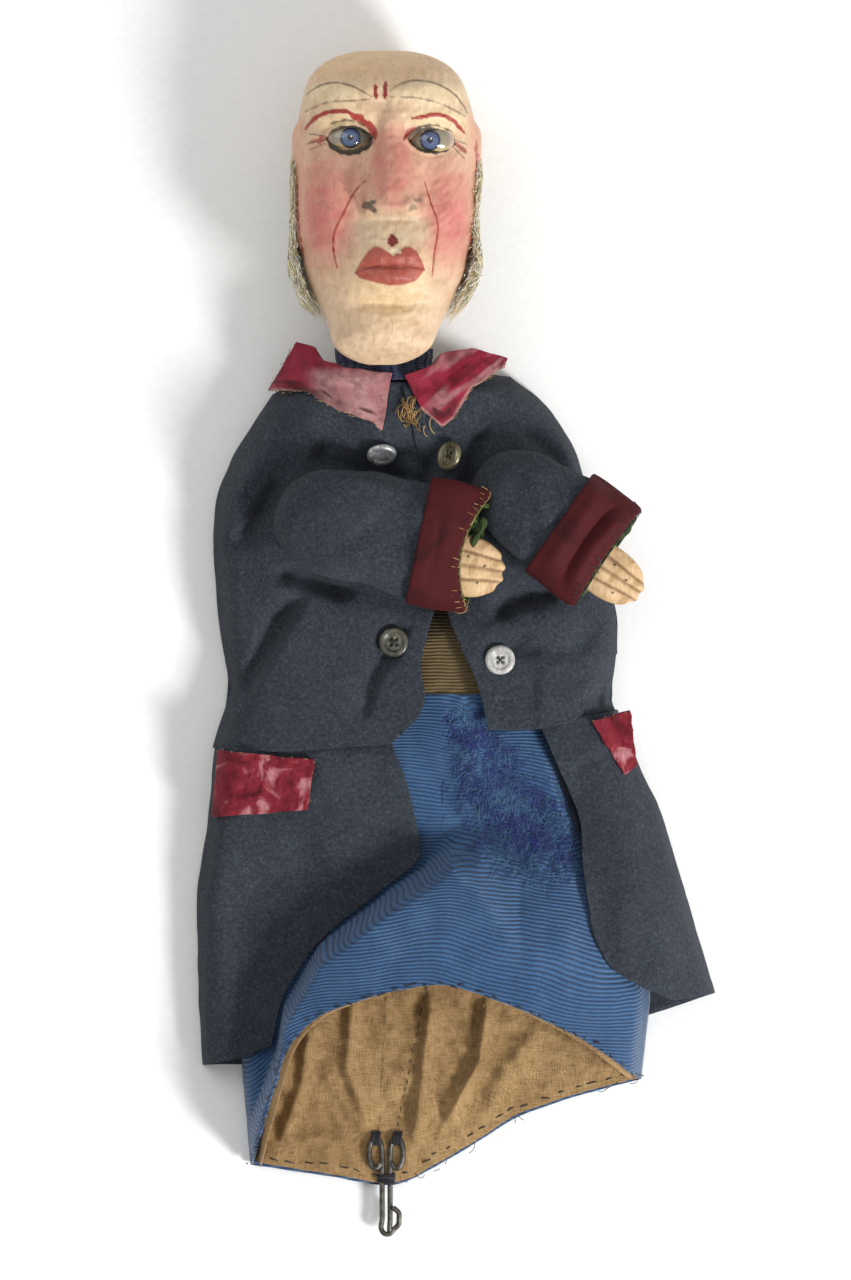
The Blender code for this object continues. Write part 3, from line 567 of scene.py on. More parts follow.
@dataclass(frozen=True)
class Ribbed(Finish):
    """Ribbed rep: a fine silk warp over thick weft cords, so rounded shining ribs lie between dark grooves."""

    shade: str
    groove: str
    pale: str
    spacing: float

    def draw(self, g: Graph) -> bpy.types.Material:
        """A sine across the ribs, bent a little by noise, with fine threads across and rubbed pale places."""
        sway = g.add("TexNoise", {"Scale": per(14), "Detail": 2.0})
        across = g.add("SeparateXYZ", {0: g.cloth}, "Y")
        bent = g.add("Math", {0: sway, 1: 0.0016, 2: across}, operation="MULTIPLY_ADD")
        phase = g.add("Math", {0: bent, 1: 2 * math.pi * per(self.spacing)}, operation="MULTIPLY")
        wave = g.add("Math", {0: phase}, operation="SINE")
        rib = g.add("MapRange", {"Value": wave, "From Min": -1.0, "From Max": 1.0})
        fine = g.add(
            "TexNoise",
            {
                "Vector": g.add("Mapping", {"Vector": g.cloth, "Scale": (1.0, 0.25, 1.0)}), "Scale": per(0.5),
                "Detail": 2.0
            }
        )
        wear = g.add("TexNoise", {"Scale": per(17), "Detail": 5.0, "Roughness": 0.65})
        body = g.add("ValToRGB", {0: rib}, stops=[(0.05, self.groove), (0.42, self.shade), (0.95, self.shade)])
        body = g.add(
            "Mix", {0: g.add("ValToRGB", {0: wear}, stops=[(0.5, "#000000"), (0.8, "#8A8A8A")]), 6: body, 7: self.pale},
            2, data_type="RGBA"
        )
        body = g.shaded(body, (0.5, fine, [(0.3, "#8C8C8C"), (0.7, "#FFFFFF")]))
        height = g.add("Math", {0: fine, 1: 0.15, 2: rib}, operation="MULTIPLY_ADD")
        return g.finish(body, height, 0.55, {"Roughness": 0.62, "Sheen Weight": 0.2, "Specular IOR Level": 0.35})


@dataclass(frozen=True)
class Woven(Finish):
    """Plain weave of slubby yarn: a small basket pattern, uneven threads, and stains."""

    shade: str
    deep: str
    pale: str
    spacing: float

    def draw(self, g: Graph) -> bpy.types.Material:
        """Two crossed sines for the yarns over slubs, which are noise drawn long each way. The yarn is drawn at twice
        its real width to show.
        """
        turns = 2 * math.pi * per(self.spacing)
        waves, slubs = [], []
        for axis, long in (("X", (0.12, 1.0, 1.0)), ("Y", (1.0, 0.12, 1.0))):
            phase = g.add("Math", {0: g.add("SeparateXYZ", {0: g.cloth}, axis), 1: turns}, operation="MULTIPLY")
            waves.append(g.add("Math", {0: phase}, operation="SINE"))
            drawn = g.add("Mapping", {"Vector": g.cloth, "Scale": long})
            slubs.append(g.add("TexNoise", {"Vector": drawn, "Scale": per(0.75), "Detail": 3.0}))
        knit = g.add(
            "MapRange", {"Value": g.add("Math", {0: waves[0], 1: waves[1]}, operation="MULTIPLY"), "From Min": -1.0}
        )
        slub = g.add("Math", {0: slubs[0], 1: slubs[1]}, operation="ADD")
        stain = g.add("TexNoise", {"Scale": per(30), "Detail": 5.0, "Roughness": 0.6})
        body = g.add(
            "ValToRGB", {0: g.add("MapRange", {"Value": slub, "From Max": 2.0})},
            stops=[(0.34, self.deep), (0.5, self.shade), (0.66, self.pale)]
        )
        body = g.shaded(
            body, (0.45, knit, [(0.2, "#8A8A8A"), (0.8, "#FFFFFF")]), (0.6, stain, [(0.3, "#B8AC9C"), (0.6, "#FFFFFF")])
        )
        height = g.add("Math", {0: slub, 1: 0.5, 2: knit}, operation="MULTIPLY_ADD")
        return g.finish(body, height, 0.22, {"Roughness": 0.9, "Sheen Weight": 0.1, "Specular IOR Level": 0.2})


@dataclass(frozen=True)
class Printed(Finish):
    """Printed cotton: small leaves and berries on a dark green ground."""

    def draw(self, g: Graph) -> bpy.types.Material:
        """Round cells give leaves in two greens, and a second set of cells gives rust-coloured berries."""
        leaf = g.add("TexVoronoi", {"Vector": g.cloth, "Scale": per(2.6), "Randomness": 1.0})
        berry = g.add("TexVoronoi", {"Vector": g.cloth, "Scale": per(4.5), "Randomness": 0.9})
        body = g.add("ValToRGB", {0: leaf}, stops=[(0.1, "#7E9450"), (0.35, "#4F6A35"), (0.6, "#26331F")])
        body = g.add(
            "Mix",
            {0: g.add("ValToRGB", {0: berry}, stops=[(0.12, "#FFFFFF"), (0.2, "#000000")]), 6: body, 7: "#7A4A4E"}, 2,
            data_type="RGBA"
        )
        yarn = g.add("TexNoise", {"Vector": g.cloth, "Scale": per(0.5), "Detail": 2.0})
        body = g.shaded(body, (0.5, yarn, [(0.3, "#888888"), (0.7, "#FFFFFF")]))
        return g.finish(body, yarn, 0.15, {"Roughness": 0.85, "Specular IOR Level": 0.2})


@dataclass(frozen=True)
class PaintedWood(Finish):
    """Lime wood under old oil paint: satin, mottled by handling, with hair cracks and tool facets under the paint."""

    rough: float
    grain: float

    def draw(self, g: Graph) -> bpy.types.Material:
        """The painter's colours come with the piece, and mottling, grime and hair cracks go over them."""
        paint = g.add("Attribute", attribute_name="paint")
        blotch = g.add("TexNoise", {"Scale": per(9), "Detail": 6.0, "Roughness": 0.65})
        brush = g.add(
            "TexNoise",
            {
                "Vector": g.add("Mapping", {"Vector": g.place, "Scale": (1.0, 0.35, 1.0)}), "Scale": per(1.6),
                "Detail": 4.0, "Roughness": 0.7
            }
        )
        cell = g.add(
            "TexVoronoi",
            {
                "Vector": g.add("Mapping", {"Vector": g.place, "Scale": (1.0, 0.45, 1.0)}), "Scale": per(11),
                "Randomness": 1.0
            },
            feature="DISTANCE_TO_EDGE"
        )
        chip = g.add("TexNoise", {"Scale": per(5.5), "Detail": 3.0, "Distortion": 1.2})
        body = g.shaded(
            paint, (0.55, blotch, [(0.3, "#D2BDA8"), (0.5, "#F6F0E8"), (0.75, "#FFFFFF")]),
            (self.grain, brush, [(0.3, "#B79E80"), (0.6, "#FFFFFF")])
        )
        line = g.add(
            "Math",
            {
                0: g.add("ValToRGB", {0: cell}, stops=[(0.0, "#FFFFFF"), (0.018, "#000000")]),
                1: g.add("ValToRGB", {0: chip}, stops=[(0.52, "#000000"), (0.6, "#FFFFFF")])
            },
            operation="MULTIPLY"
        )
        body = g.add(
            "Mix", {0: line, 6: body, 7: g.add("Mix", {0: 0.3, 6: body, 7: "#6A5138"}, 2, data_type="RGBA")}, 2,
            data_type="RGBA"
        )
        height = g.add("Math", {0: brush, 1: 0.7, 2: blotch}, operation="MULTIPLY_ADD")
        height = g.add("Math", {0: line, 1: -0.35, 2: height}, operation="MULTIPLY_ADD")
        rough = g.add("MapRange", {"Value": blotch, "To Min": self.rough - 0.12, "To Max": self.rough + 0.16})
        return g.finish(body, height, 0.45, {"Specular IOR Level": 0.4, "IOR": 1.5}, rough)


@dataclass(frozen=True)
class Glass(Finish):
    """Blown glass eye: a painted iris and a painted highlight spot under a clear wet-looking coat that holds a
    sharp highlight.
    """

    def draw(self, g: Graph) -> bpy.types.Material:
        """The iris, the white and a painted highlight spot come with the piece, with fine streaks of noise in them."""
        paint = g.add("Attribute", attribute_name="paint")
        streak = g.add("TexNoise", {"Scale": per(0.8), "Detail": 3.0})
        body = g.shaded(paint, (0.3, streak, [(0.3, "#B0B0B0"), (0.7, "#FFFFFF")]))
        return g.finish(body, streak, 0.02, {"Roughness": 0.12, "IOR": 1.5, "Coat Weight": 0.8, "Coat Roughness": 0.04})


@dataclass(frozen=True)
class Shell(Finish):
    """Turned button of shell or horn: clouded bands of close colours and a soft polish with rubbed grime."""

    shade: str
    deep: str
    pale: str
    metallic: float = 0.0

    def draw(self, g: Graph) -> bpy.types.Material:
        """Noise drawn long one way for the layers, and smaller noise for the grime."""
        layer = g.add(
            "TexNoise",
            {
                "Vector": g.add("Mapping", {"Vector": g.place, "Scale": (1.0, 0.3, 1.0)}), "Scale": per(3),
                "Detail": 4.0, "Distortion": 0.8
            }
        )
        grime = g.add("TexNoise", {"Scale": per(0.9), "Detail": 3.0})
        body = g.add("ValToRGB", {0: layer}, stops=[(0.3, self.deep), (0.5, self.shade), (0.7, self.pale)])
        body = g.shaded(body, (0.5, grime, [(0.3, "#A0968A"), (0.6, "#FFFFFF")]))
        return g.finish(
            body, grime, 0.08,
            {"Roughness": 0.3, "Metallic": self.metallic, "Coat Weight": 0.2, "IOR": 1.53 if not self.metallic else 1.5}
        )


@dataclass(frozen=True)
class Iron(Finish):
    """Drawn iron wire, blued and rubbed: dark grey metal with brown rust in places."""

    def draw(self, g: Graph) -> bpy.types.Material:
        """Noise mixes steel and rust, and small pits roughen it."""
        rust = g.add("TexNoise", {"Scale": per(3), "Detail": 5.0, "Roughness": 0.7})
        pit = g.add("TexNoise", {"Scale": per(0.5), "Detail": 2.0})
        body = g.add("ValToRGB", {0: rust}, stops=[(0.4, "#6E6C68"), (0.6, "#4B4742"), (0.75, "#4A3526")])
        rough = g.add("MapRange", {"Value": rust, "To Min": 0.25, "To Max": 0.6})
        return g.finish(body, pit, 0.06, {"Metallic": 0.9}, rough)


@dataclass(frozen=True)
class Fibre(Finish):
    """Spun thread or loose fibre: matt, each strand a little different in shade, with a twist along it."""

    deep: str
    shade: str
    pale: str

    def draw(self, g: Graph) -> bpy.types.Material:
        """Each strand's own tint picks its shade, and a noise along it stands for the twist."""
        tint = g.add("Attribute", out="Fac", attribute_name="tint")
        twist = g.add("TexNoise", {"Scale": per(0.7), "Detail": 2.0})
        body = g.add("ValToRGB", {0: tint}, stops=[(0.1, self.deep), (0.5, self.shade), (0.9, self.pale)])
        body = g.shaded(body, (0.6, twist, [(0.3, "#A2A2A2"), (0.7, "#FFFFFF")]))
        return g.finish(body, twist, 0.1, {"Roughness": 0.7, "Sheen Weight": 0.15, "Specular IOR Level": 0.3})


@dataclass(frozen=True)
class Backdrop(Finish):
    """Seamless white paper: matt with the faintest tooth."""

    def draw(self, g: Graph) -> bpy.types.Material:
        """A near-white with barely visible noise."""
        tooth = g.add("TexNoise", {"Scale": per(4), "Detail": 2.0})
        return g.finish(
            g.add("ValToRGB", {0: tooth}, stops=[(0.3, "#F7F7F6"), (0.7, "#FBFBFA")]), tooth, 0.02,
            {"Roughness": 0.9, "Specular IOR Level": 0.1}
        )


class Finishes(Enum):
    """Every finish on the puppet, named for the real material."""

    COAT_FELT = Felt("wool_felt", "#3C424C", "#1D2128", "#62686F")
    CRIMSON = Velvet("crimson_velvet", "#520A17", "#84202F", "#CB8B8E", 15.0, 0.17)
    COLLAR = RubbedVelvet("worn_collar_velvet_with_painted_shade")
    BURGUNDY = Velvet("burgundy_velvet", "#34090D", "#501317", "#642024", 25.0, 0.0)
    BLUE_REP = Ribbed("blue_ribbed_rep", "#38628F", "#1F365A", "#648EAE", 1.85)
    BROWN_REP = Ribbed("brown_ribbed_rep", "#76623C", "#45351E", "#937C4C", 1.7)
    NAVY = Ribbed("navy_satin", "#27335F", "#151B36", "#3C4A78", 1.1)
    LINEN = Woven("brown_linen", "#B08F62", "#8A6C42", "#C8A87A", 1.1)
    GREEN = Printed("printed_cotton")
    SKIN = PaintedWood("painted_lime_wood", 0.42, 0.25)
    HAND_WOOD = PaintedWood("carved_hand_wood", 0.55, 0.5)
    EYE = Glass("glass_eye")
    PEARL = Shell("grey_pearl_button", "#B9B8B5", "#9C9B9B", "#D6D4D0")
    HORN = Shell("dark_horn_button", "#4A4A3E", "#35352F", "#666454")
    OLIVE = Shell("olive_brass_button", "#7B765A", "#4E4A37", "#A49D7C", 0.35)
    SILVER = Shell("silvered_button", "#A7A9AC", "#76787C", "#D8D9DA", 0.6)
    IRON = Iron("iron_wire")
    BLACK_THREAD = Fibre("waxed_black_thread", "#0E0E12", "#1A1A20", "#34343C")
    OCHRE_THREAD = Fibre("ochre_thread", "#8A6A2E", "#B08A4A", "#D0B27A")
    GOLD_THREAD = Fibre("gold_braid_thread", "#7A5A28", "#A98348", "#CBA76A")
    BLUE_THREAD = Fibre("frayed_blue_silk", "#2C2C84", "#34508E", "#527FA2")
    HAIR = Fibre("straw_hair_fibre", "#F0DDA8", "#FCEFC8", "#FFFFFF")
    PAPER = Backdrop("white_paper")


# ---------------------------------------------------------------- the lying body

# Outlines in mm, from the crown down: each side seam, free edge and hem, and the line where the dome's foot runs.
COAT_RIGHT_SIDE: Points = [(-64, 148), (-82, 121), (-92, 99), (-94, 74), (-91, 33), (-85, 0), (-94, -29)]
COAT_LEFT_SIDE: Points = [(55, 157), (73, 144), (88, 121), (95, 96), (109, 37), (109, 18), (105, -5), (108, -10)]
SKIRT_RIGHT_SIDE: Points = [(-93, -28), (-96, -64), (-102, -102), (-101, -155), (-99, -188)]
SKIRT_RIGHT_EDGE: Points = [(-5, -25), (4, -48), (12, -84), (-14, -104), (-42, -126), (-60, -155), (-64, -178)]
SKIRT_LEFT_SIDE: Points = [(109, -10), (122, -43), (131, -61), (141, -95), (158, -152)]
SKIRT_LEFT_EDGE: Points = [(69, -16), (80, -40), (90, -63), (92, -95), (97, -123), (106, -140), (122, -149)]
CHEST_RIGHT_SIDE: Points = [(-46, 146), (-58, 110), (-60, 60), (-60, -4)]
CHEST_LEFT_SIDE: Points = [(38, 146), (62, 110), (70, 60), (72, -4)]
GLOVE_RIGHT_SIDE: Points = [(-60, -2), (-66, -60), (-74, -120), (-80, -180), (-75, -238)]
GLOVE_LEFT_SIDE: Points = [(72, -2), (88, -60), (108, -110), (126, -150), (121, -195)]
FRONT_HEM: Points = [
    (-75, -238), (-68, -215), (-57, -178), (-41, -162), (-8, -151), (21, -146), (44, -153), (64, -161), (93, -175),
    (121, -195)
]
BACK_HEM: Points = [
    (-75, -238), (-49, -242), (-28, -245), (-10, -249), (2, -248), (37, -228), (58, -214), (87, -204), (121, -195)
]
DOME_FOOT: Points = [(-80, -226), (-62, -178), (-58, -155), (-40, -124), (-12, -103), (12, -84), (40, -56), (130, -20)]


def side_at(points: Points, y: Array) -> Array:
    """The x of a side seam at y."""
    found = np.array(sorted(points, key=lambda point: point[1]), float)
    return np.interp(y, found[:, 1], found[:, 0])


def arch(x: Array, low: Array, high: Array, side: float, top: Array, power: float = 4.0) -> Array:
    """A flat-topped arch over the span from low to high: the fourth root's flat crown with upright ends."""
    across = np.clip(2 * (x - low) / (high - low) - 1, -1, 1)
    return side + (top - side) * np.sqrt(1 - np.abs(across) ** power)


def inset(x: Array, y: Array, right: Points, left: Points) -> Array:
    """How far each place lies inside the nearer of two side seams, in mm."""
    return np.minimum(x - side_at(right, y), side_at(left, y) - x)


@dataclass(frozen=True)
class Body:
    """The heights of the layers over the lying body, in mm above the table."""

    chest: float = 30.0
    coat: float = 33.8
    throat: float = 50.8
    neck_x: float = -8.0
    mouth: float = 52.0
    side: float = 18.0
    seam: float = 6.2
    coat_seam: float = 4.4
    layer: float = 3.8

    def rise(self, x: Array, y: Array, reach: float) -> Array:
        """How far the cloth climbs from the chest to the throat, from 0 to 1."""
        return smooth((y - 106) / 42) * np.exp(-(((x - self.neck_x) / reach) ** 2))

    def coat_height(self, x: Array, y: Array) -> Array:
        """The coat's front: an arch between its side seams that climbs to the throat."""
        top = self.coat + (self.throat - self.coat) * self.rise(x, y, 48)
        return arch(x, side_at(COAT_RIGHT_SIDE, y), side_at(COAT_LEFT_SIDE, y), self.coat_seam, top)

    def chest_height(self, x: Array, y: Array) -> Array:
        """The glove's chest, under the coat."""
        top = self.chest + (self.throat - self.coat) * self.rise(x, y, 44)
        return arch(x, side_at(CHEST_RIGHT_SIDE, y), side_at(CHEST_LEFT_SIDE, y), self.seam, top)

    def skirt_height(self, x: Array, y: Array, edge: bool = True) -> Array:
        """The glove's skirt: low at the waist and sides, with a high arch at the mouth whose foot runs across it.

        Args:
            x: Across, in mm.
            y: Along, in mm.
            edge: Whether it comes down to the back at its own side seams.

        Returns:
            The height.
        """
        right, left = side_at(GLOVE_RIGHT_SIDE, y), side_at(GLOVE_LEFT_SIDE, y)
        low = self.chest + (self.side - self.chest) * smooth(-y / 120)
        foot_x, foot_y = zip(*DOME_FOOT)
        depth = np.interp(x, foot_x, foot_y) - y
        dome = low + (self.mouth - low) * smooth(depth / np.interp(x, (-60, -10, 26, 60), (17, 15, 22, 90)))
        crown = arch(x, right - 8, left + 2, self.side, np.maximum(dome, low), 3.0)
        if not edge:
            return crown
        return self.seam + (crown - self.seam) * quarter(np.minimum(x - right, left - x) / 9)

    def tail_height(self, x: Array, y: Array) -> Array:
        """The coat's skirt: it lies on the glove's skirt and comes down to the back at its own side seams."""
        waist = self.coat_height(x, np.full_like(y, -12.0)) * (1 - 0.6 * smooth((-y - 30) / 70))
        foot_x, foot_y = zip(*DOME_FOOT)
        under = smooth((y - np.interp(x, foot_x, foot_y) + 2) / 5)
        low = self.side + self.layer + (self.chest - self.side) * (1 - smooth(-y / 120))
        inner = np.clip(x, side_at(GLOVE_RIGHT_SIDE, y) + 12, side_at(GLOVE_LEFT_SIDE, y) - 14)
        top = np.maximum(
            self.skirt_height(inner, y, edge=False) * (1 - under) + self.layer * (1 - under) + low * under, waist
        )
        inside = np.minimum(
            (x - side_at(SKIRT_RIGHT_SIDE, y)) / 16, (side_at(SKIRT_LEFT_SIDE, y) - x) / (16 + 26 * smooth(-y / 120))
        )
        return self.coat_seam + (top - self.coat_seam) * quarter(inside)


BODY = Body()


def patch(
    top: Points, bottom: Points, right: Points, left: Points, rows: int, columns: int, ragged: float = 0.0,
    seed: int = 0, blur: float = 0.04
) -> tuple[Array, Array]:
    """Places spread between four edges: each pair of facing edges is blended, and the corners' own blend is taken away
    once.

    Args:
        top: The edge at the first row, from right to left.
        bottom: The edge at the last row, from right to left.
        right: The edge at the first column, running down.
        left: The edge at the last column, running down.
        rows: Rows of points.
        columns: Columns of points.
        ragged: How far the cut edges waver, in mm.
        seed: Picks the wavering.
        blur: How much the corners of the outlines are rounded.

    Returns:
        The x and the y of each point.
    """
    u, v = np.meshgrid(np.linspace(0, 1, columns), np.linspace(0, 1, rows))
    t, b, r, l = (rounded(edge, 160, blur) for edge in (top, bottom, right, left))
    across = (1 - v)[..., None] * resample(t, u) + v[..., None] * resample(b, u)
    down = (1 - u)[..., None] * resample(r, v) + u[..., None] * resample(l, v)
    corner = [np.asarray(end, float) for end in (t[0], t[-1], b[0], b[-1])]
    both = (
        ((1 - u) * (1 - v))[..., None] * corner[0] + (u * (1 - v))[..., None] * corner[1]
        + ((1 - u) * v)[..., None] * corner[2] + (u * v)[..., None] * corner[3]
    )
    x, y = np.moveaxis(across + down - both, -1, 0)
    edge = np.maximum.reduce([1 - u / 0.04, 1 - (1 - u) / 0.04, 1 - v / 0.04, 1 - (1 - v) / 0.04, np.zeros_like(u)])
    x = x + 0.3 * ragged * edge * ripple(x, y, seed + 1, 16)
    return x, y + 0.3 * ragged * edge * ripple(x, y, seed + 2, 16)


def drape(x: Array, y: Array, height: Array, folds: list[Fold], seed: int, swell: float, size: float = 34.0) -> Array:
    """A cloth grid at a height, with folds and soft uneven swells laid on it.

    Args:
        x: Across, in mm.
        y: Along, in mm.
        height: The smooth height.
        folds: Ridges and valleys to add.
        seed: Picks the swells.
        swell: Their height, in mm.
        size: Their length, in mm.

    Returns:
        Rows by columns by 3.
    """
    z = height + swell * ripple(x, y, seed, size) + 0.35 * swell * ripple(x, y, seed + 7, size / 2.8)
    return np.stack([x, y, z + sum((fold.at(x, y) for fold in folds), np.zeros_like(x))], axis=-1)


def pinned(points: Array, level: float, first: bool, last: bool, reach: int = 9) -> Array:
    """Brings a grid's outer columns down to a level in a quarter circle, so that its side seam closes.

    Args:
        points: The grid in mm.
        level: The height of the seam.
        first: Whether the first column is a seam.
        last: Whether the last column is.
        reach: Over how many columns it comes down.

    Returns:
        The grid.
    """
    column = np.arange(points.shape[1])
    share = np.ones(points.shape[1])
    for wanted, index in ((first, column), (last, column[::-1])):
        share = share * (quarter(index / reach) if wanted else 1)
    points[..., 2] = level + (points[..., 2] - level) * share
    return points


def shouldered(points: Array, level: float, reach: int = 10) -> Array:
    """Brings a grid's first rows down to a level at the shoulders, and leaves them up at the neck."""
    away = np.abs(points[..., 0] - BODY.neck_x)
    drop = smooth((away - 27) / 9) * (1 - quarter(np.arange(points.shape[0]) / reach))[:, None]
    points[..., 2] -= (points[..., 2] - level) * drop
    return points


def sheet_piece(
    name: str, points: Array, finish: Finishes, depth: float, node: str,
    uv: Array | None = None
) -> Object:
    """A sheet of the coat or glove that stands for a CAD node, with its thickness.

    Args:
        name: The piece's name.
        points: Its grid in mm.
        finish: What it is made of.
        depth: Its thickness in mm.
        node: The CAD node it replaces.
        uv: Its cloth coordinates, where arc lengths don't serve.

    Returns:
        The object.
    """
    obj = thicken(surface(name, points, finish.value, uv=uv), depth)
    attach(obj, TRUNK)
    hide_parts(node)
    LOG.info("made %s", name)
    return obj


def place(obj: Object, body: str, slot: str, *nodes: str) -> Object:
    """Lets a finished piece ride on a body and stand for CAD nodes."""
    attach(obj, body)
    if nodes:
        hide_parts(*nodes)
    LOG.info("made %s", obj.name)
    return obj


def running_stitch(
    slot: str, name: str, path: Array, length: float, gap: float, radius: float, finish: Finishes, seed: int,
    lift: float = 0.3, stray: float = 0.5
) -> None:
    """Stitches along a seam: short arcs of thread that rise out of the cloth and dive back in.

    Args:
        slot: The material slot, which is not used.
        name: The piece's name.
        path: The seam, as points in mm on the cloth.
        length: Length of a stitch.
        gap: The space after it.
        radius: The thread's radius.
        finish: The thread.
        seed: Picks the unevenness.
        lift: How high a stitch stands.
        stray: How far its ends wander off the seam.
    """
    draw = np.random.default_rng(seed)
    total = float(np.linalg.norm(np.diff(path, axis=0), axis=1).sum())
    count = max(2, int(total / (length + gap)))
    start = (np.arange(count) + draw.uniform(-0.2, 0.2, count)) / count
    size = length * draw.uniform(0.6, 1.25, count) / total
    share = np.linspace(0, 1, 5)
    spots = resample(path, np.clip(start[:, None] + size[:, None] * share, 0, 1).ravel()).reshape(count, 5, 3)
    spots[..., :2] += stray * draw.normal(
        0, 0.5, (count, 1, 2)
    ) + stray * share[:, None] * draw.normal(0, 0.5, (count, 1, 2))
    spots[..., 2] += -0.3 + (lift + 0.3) * np.sin(math.pi * share)
    place(strands(name, spots, radius, finish.value, 4, draw.uniform(0, 1, count)), TRUNK, slot)


# ---------------------------------------------------------------- coat


# Each loose button: where it sits, and how far its face leans to the left and to the crown, as slopes.
BUTTON_LEANS = {"button_upper_right": (-9.0, 119.0, 0.1, -1.25), "button_upper_left": (24.0, 118.0, -0.95, 0.35)}


@dataclass
class Coat:
    """The felt coat: two fronts, two skirts, the back in two pieces, and everything sewn to it."""

    felt: float = 1.8
    rows: int = 150
    columns: int = 130

    right_top: tuple = ((-64, 148), (-46, 157), (-36, 154), (0, 153.5))
    left_top: tuple = ((1, 153.5), (20, 154), (32, 158), (55, 157))
    right_edge: tuple = ((3.0, 153.5), (12, 120), (19, 85), (21, 56), (17, 40), (9, 10), (15, -8), (-4, -27))
    left_edge: tuple = ((1, 153.5), (9, 120), (16, 85), (22, 42), (31, 20), (40, 1), (44, -20))
    right_hem: tuple = ((-94, -29), (-60, -31), (-4, -27))
    left_hem: tuple = ((44, -20), (67, -20), (87, -16), (108, -10))

    folds: tuple = (
        Fold(((-92, 70), (-80, 76), (-66, 93), (-60, 108)), -7.2, 4.4, 1.6),
        Fold(((-90, 86), (-78, 96), (-68, 112)), 4.5, 6.3),
        Fold(((-66, 58), (-52, 59), (-38, 52), (-22, 46)), -9.0, 3.6, 1.5),
        Fold(((-70, 66), (-54, 68), (-44, 60)), 4.9, 5.4),
        Fold(((-46, 50), (-58, 34), (-70, 14), (-82, -8)), -10.3, 4.9, 1.7),
        Fold(((-34, 46), (-46, 24), (-60, -4), (-66, -24)), 8.1, 8.1),
        Fold(((-84, 58), (-90, 30), (-84, 6)), 4.1, 6.3),
        Fold(((-46, 122), (-30, 116), (-8, 108), (6, 104)), -9.0, 4.4, 1.3),
        Fold(((-70, 130), (-52, 126), (-40, 116)), 4.5, 7.1),
        Fold(((4, 34), (-4, 22), (-14, 6), (-20, -20)), -6.8, 4.4, 1.5),
        Fold(((16, 36), (6, 22), (10, -2), (4, -24)), 7.7, 4.4),
        Fold(((14, 118), (13, 106), (16, 90)), -5.4, 2.9),
        Fold(((32, 96), (34, 112), (40, 124), (52, 126)), -8.1, 3.9, 1.5),
        Fold(((38, 118), (50, 124), (68, 114), (88, 98)), 9.4, 5.4, 1.3),
        Fold(((60, 130), (82, 112), (96, 92)), -5.4, 5.4),
        Fold(((104, 34), (84, 20), (66, 22), (50, 28)), -4.9, 6.3, 1.4),
        Fold(((108, 14), (96, 0), (80, -10)), 4.9, 5.4),
        Fold(((44, 36), (56, 46), (80, 48)), -6.8, 5.4),
        Fold(((40, 6), (56, 2), (74, -6), (96, -8)), 3.6, 7.1),
    )
    tail_folds: tuple = (
        Fold(((-20, -34), (-30, -80), (-28, -120)), 1.6, 14.0),
        Fold(((-62, -50), (-70, -110), (-76, -180)), -1.8, 12.0),
        Fold(((-90, -70), (-92, -120), (-88, -180)), 1.8, 9.0),
        Fold(((100, -30), (112, -80), (128, -140)), 1.8, 11.0),
        Fold(((88, -40), (98, -84), (106, -130)), -1.2, 7.0),
        Fold(((-50, -34), (-46, -60), (-52, -90)), -1.4, 9.0),
    )

    def front(self, side: str, top: tuple, hem: tuple, edges: tuple[tuple, tuple], seed: int) -> Array:
        """One front, draped over the chest, with its opening edge rolled up a little.

        Args:
            side: Right or left.
            top: Its neck and shoulder edge.
            hem: Its lower edge.
            edges: Its right and left edges, running down.
            seed: Picks its swells.

        Returns:
            Its grid.
        """
        x, y = patch(list(top), list(hem), list(edges[0]), list(edges[1]), self.rows, self.columns, 0.5, seed, 0.05)
        height = BODY.coat_height(x, y)
        inside = smooth(inset(x, y, COAT_RIGHT_SIDE, COAT_LEFT_SIDE) / 14)
        points = np.stack([x, y, height], axis=-1)
        extra = drape(x, y, np.zeros_like(x), list(self.folds), seed, 0.8)[..., 2] + self.puff(x, y)
        sweep = smooth((x + 86) / 10) * smooth((74 - x) / 8) * smooth((104 - y) / 10)
        under = self.under_arms(x, y)
        cap = 1.4 + (1 - under) * (8.0 - 5.8 * sweep)
        extra = np.where(extra > 0, cap * np.tanh(np.maximum(extra, 0) / cap), extra)
        points[..., 2] += extra * inside
        gap = smooth((40 - np.hypot(x - 24, y - 6)) / 20)
        low = np.maximum(BODY.chest_height(x, y) + 2.4 - 9.5 * (1 - gap) * smooth((122 - y) / 20), BODY.coat_seam)
        points[..., 2] = np.maximum(points[..., 2], np.minimum(low, height))
        away = np.abs(x - np.interp(-y, *zip(*((-b, a) for a, b in self.left_edge))))
        lap = smooth((9 - away) / 9) * smooth((y - 40) / 12) * smooth((153 - y) / 6)
        points[..., 2] += (1.3 if side == "left" else -1.1) * lap
        points = shouldered(pinned(points, BODY.coat_seam, side == "right", side == "left"), BODY.coat_seam)
        name = "coat_front_" + side
        sheet_piece(
            name + "_felt", points, Finishes.COAT_FELT, self.felt, name
        )
        return points

    def under_arms(self, x: Array, y: Array) -> Array:
        """1 where an arm lies over the coat, and 0 well away from it."""
        right = to_path(x, y, [(-46, 85), (45, 66)])[0]
        left = to_path(x, y, [(46, 107), (112, 60)])[0]
        return smooth((40 - np.minimum(right, left)) / 12)

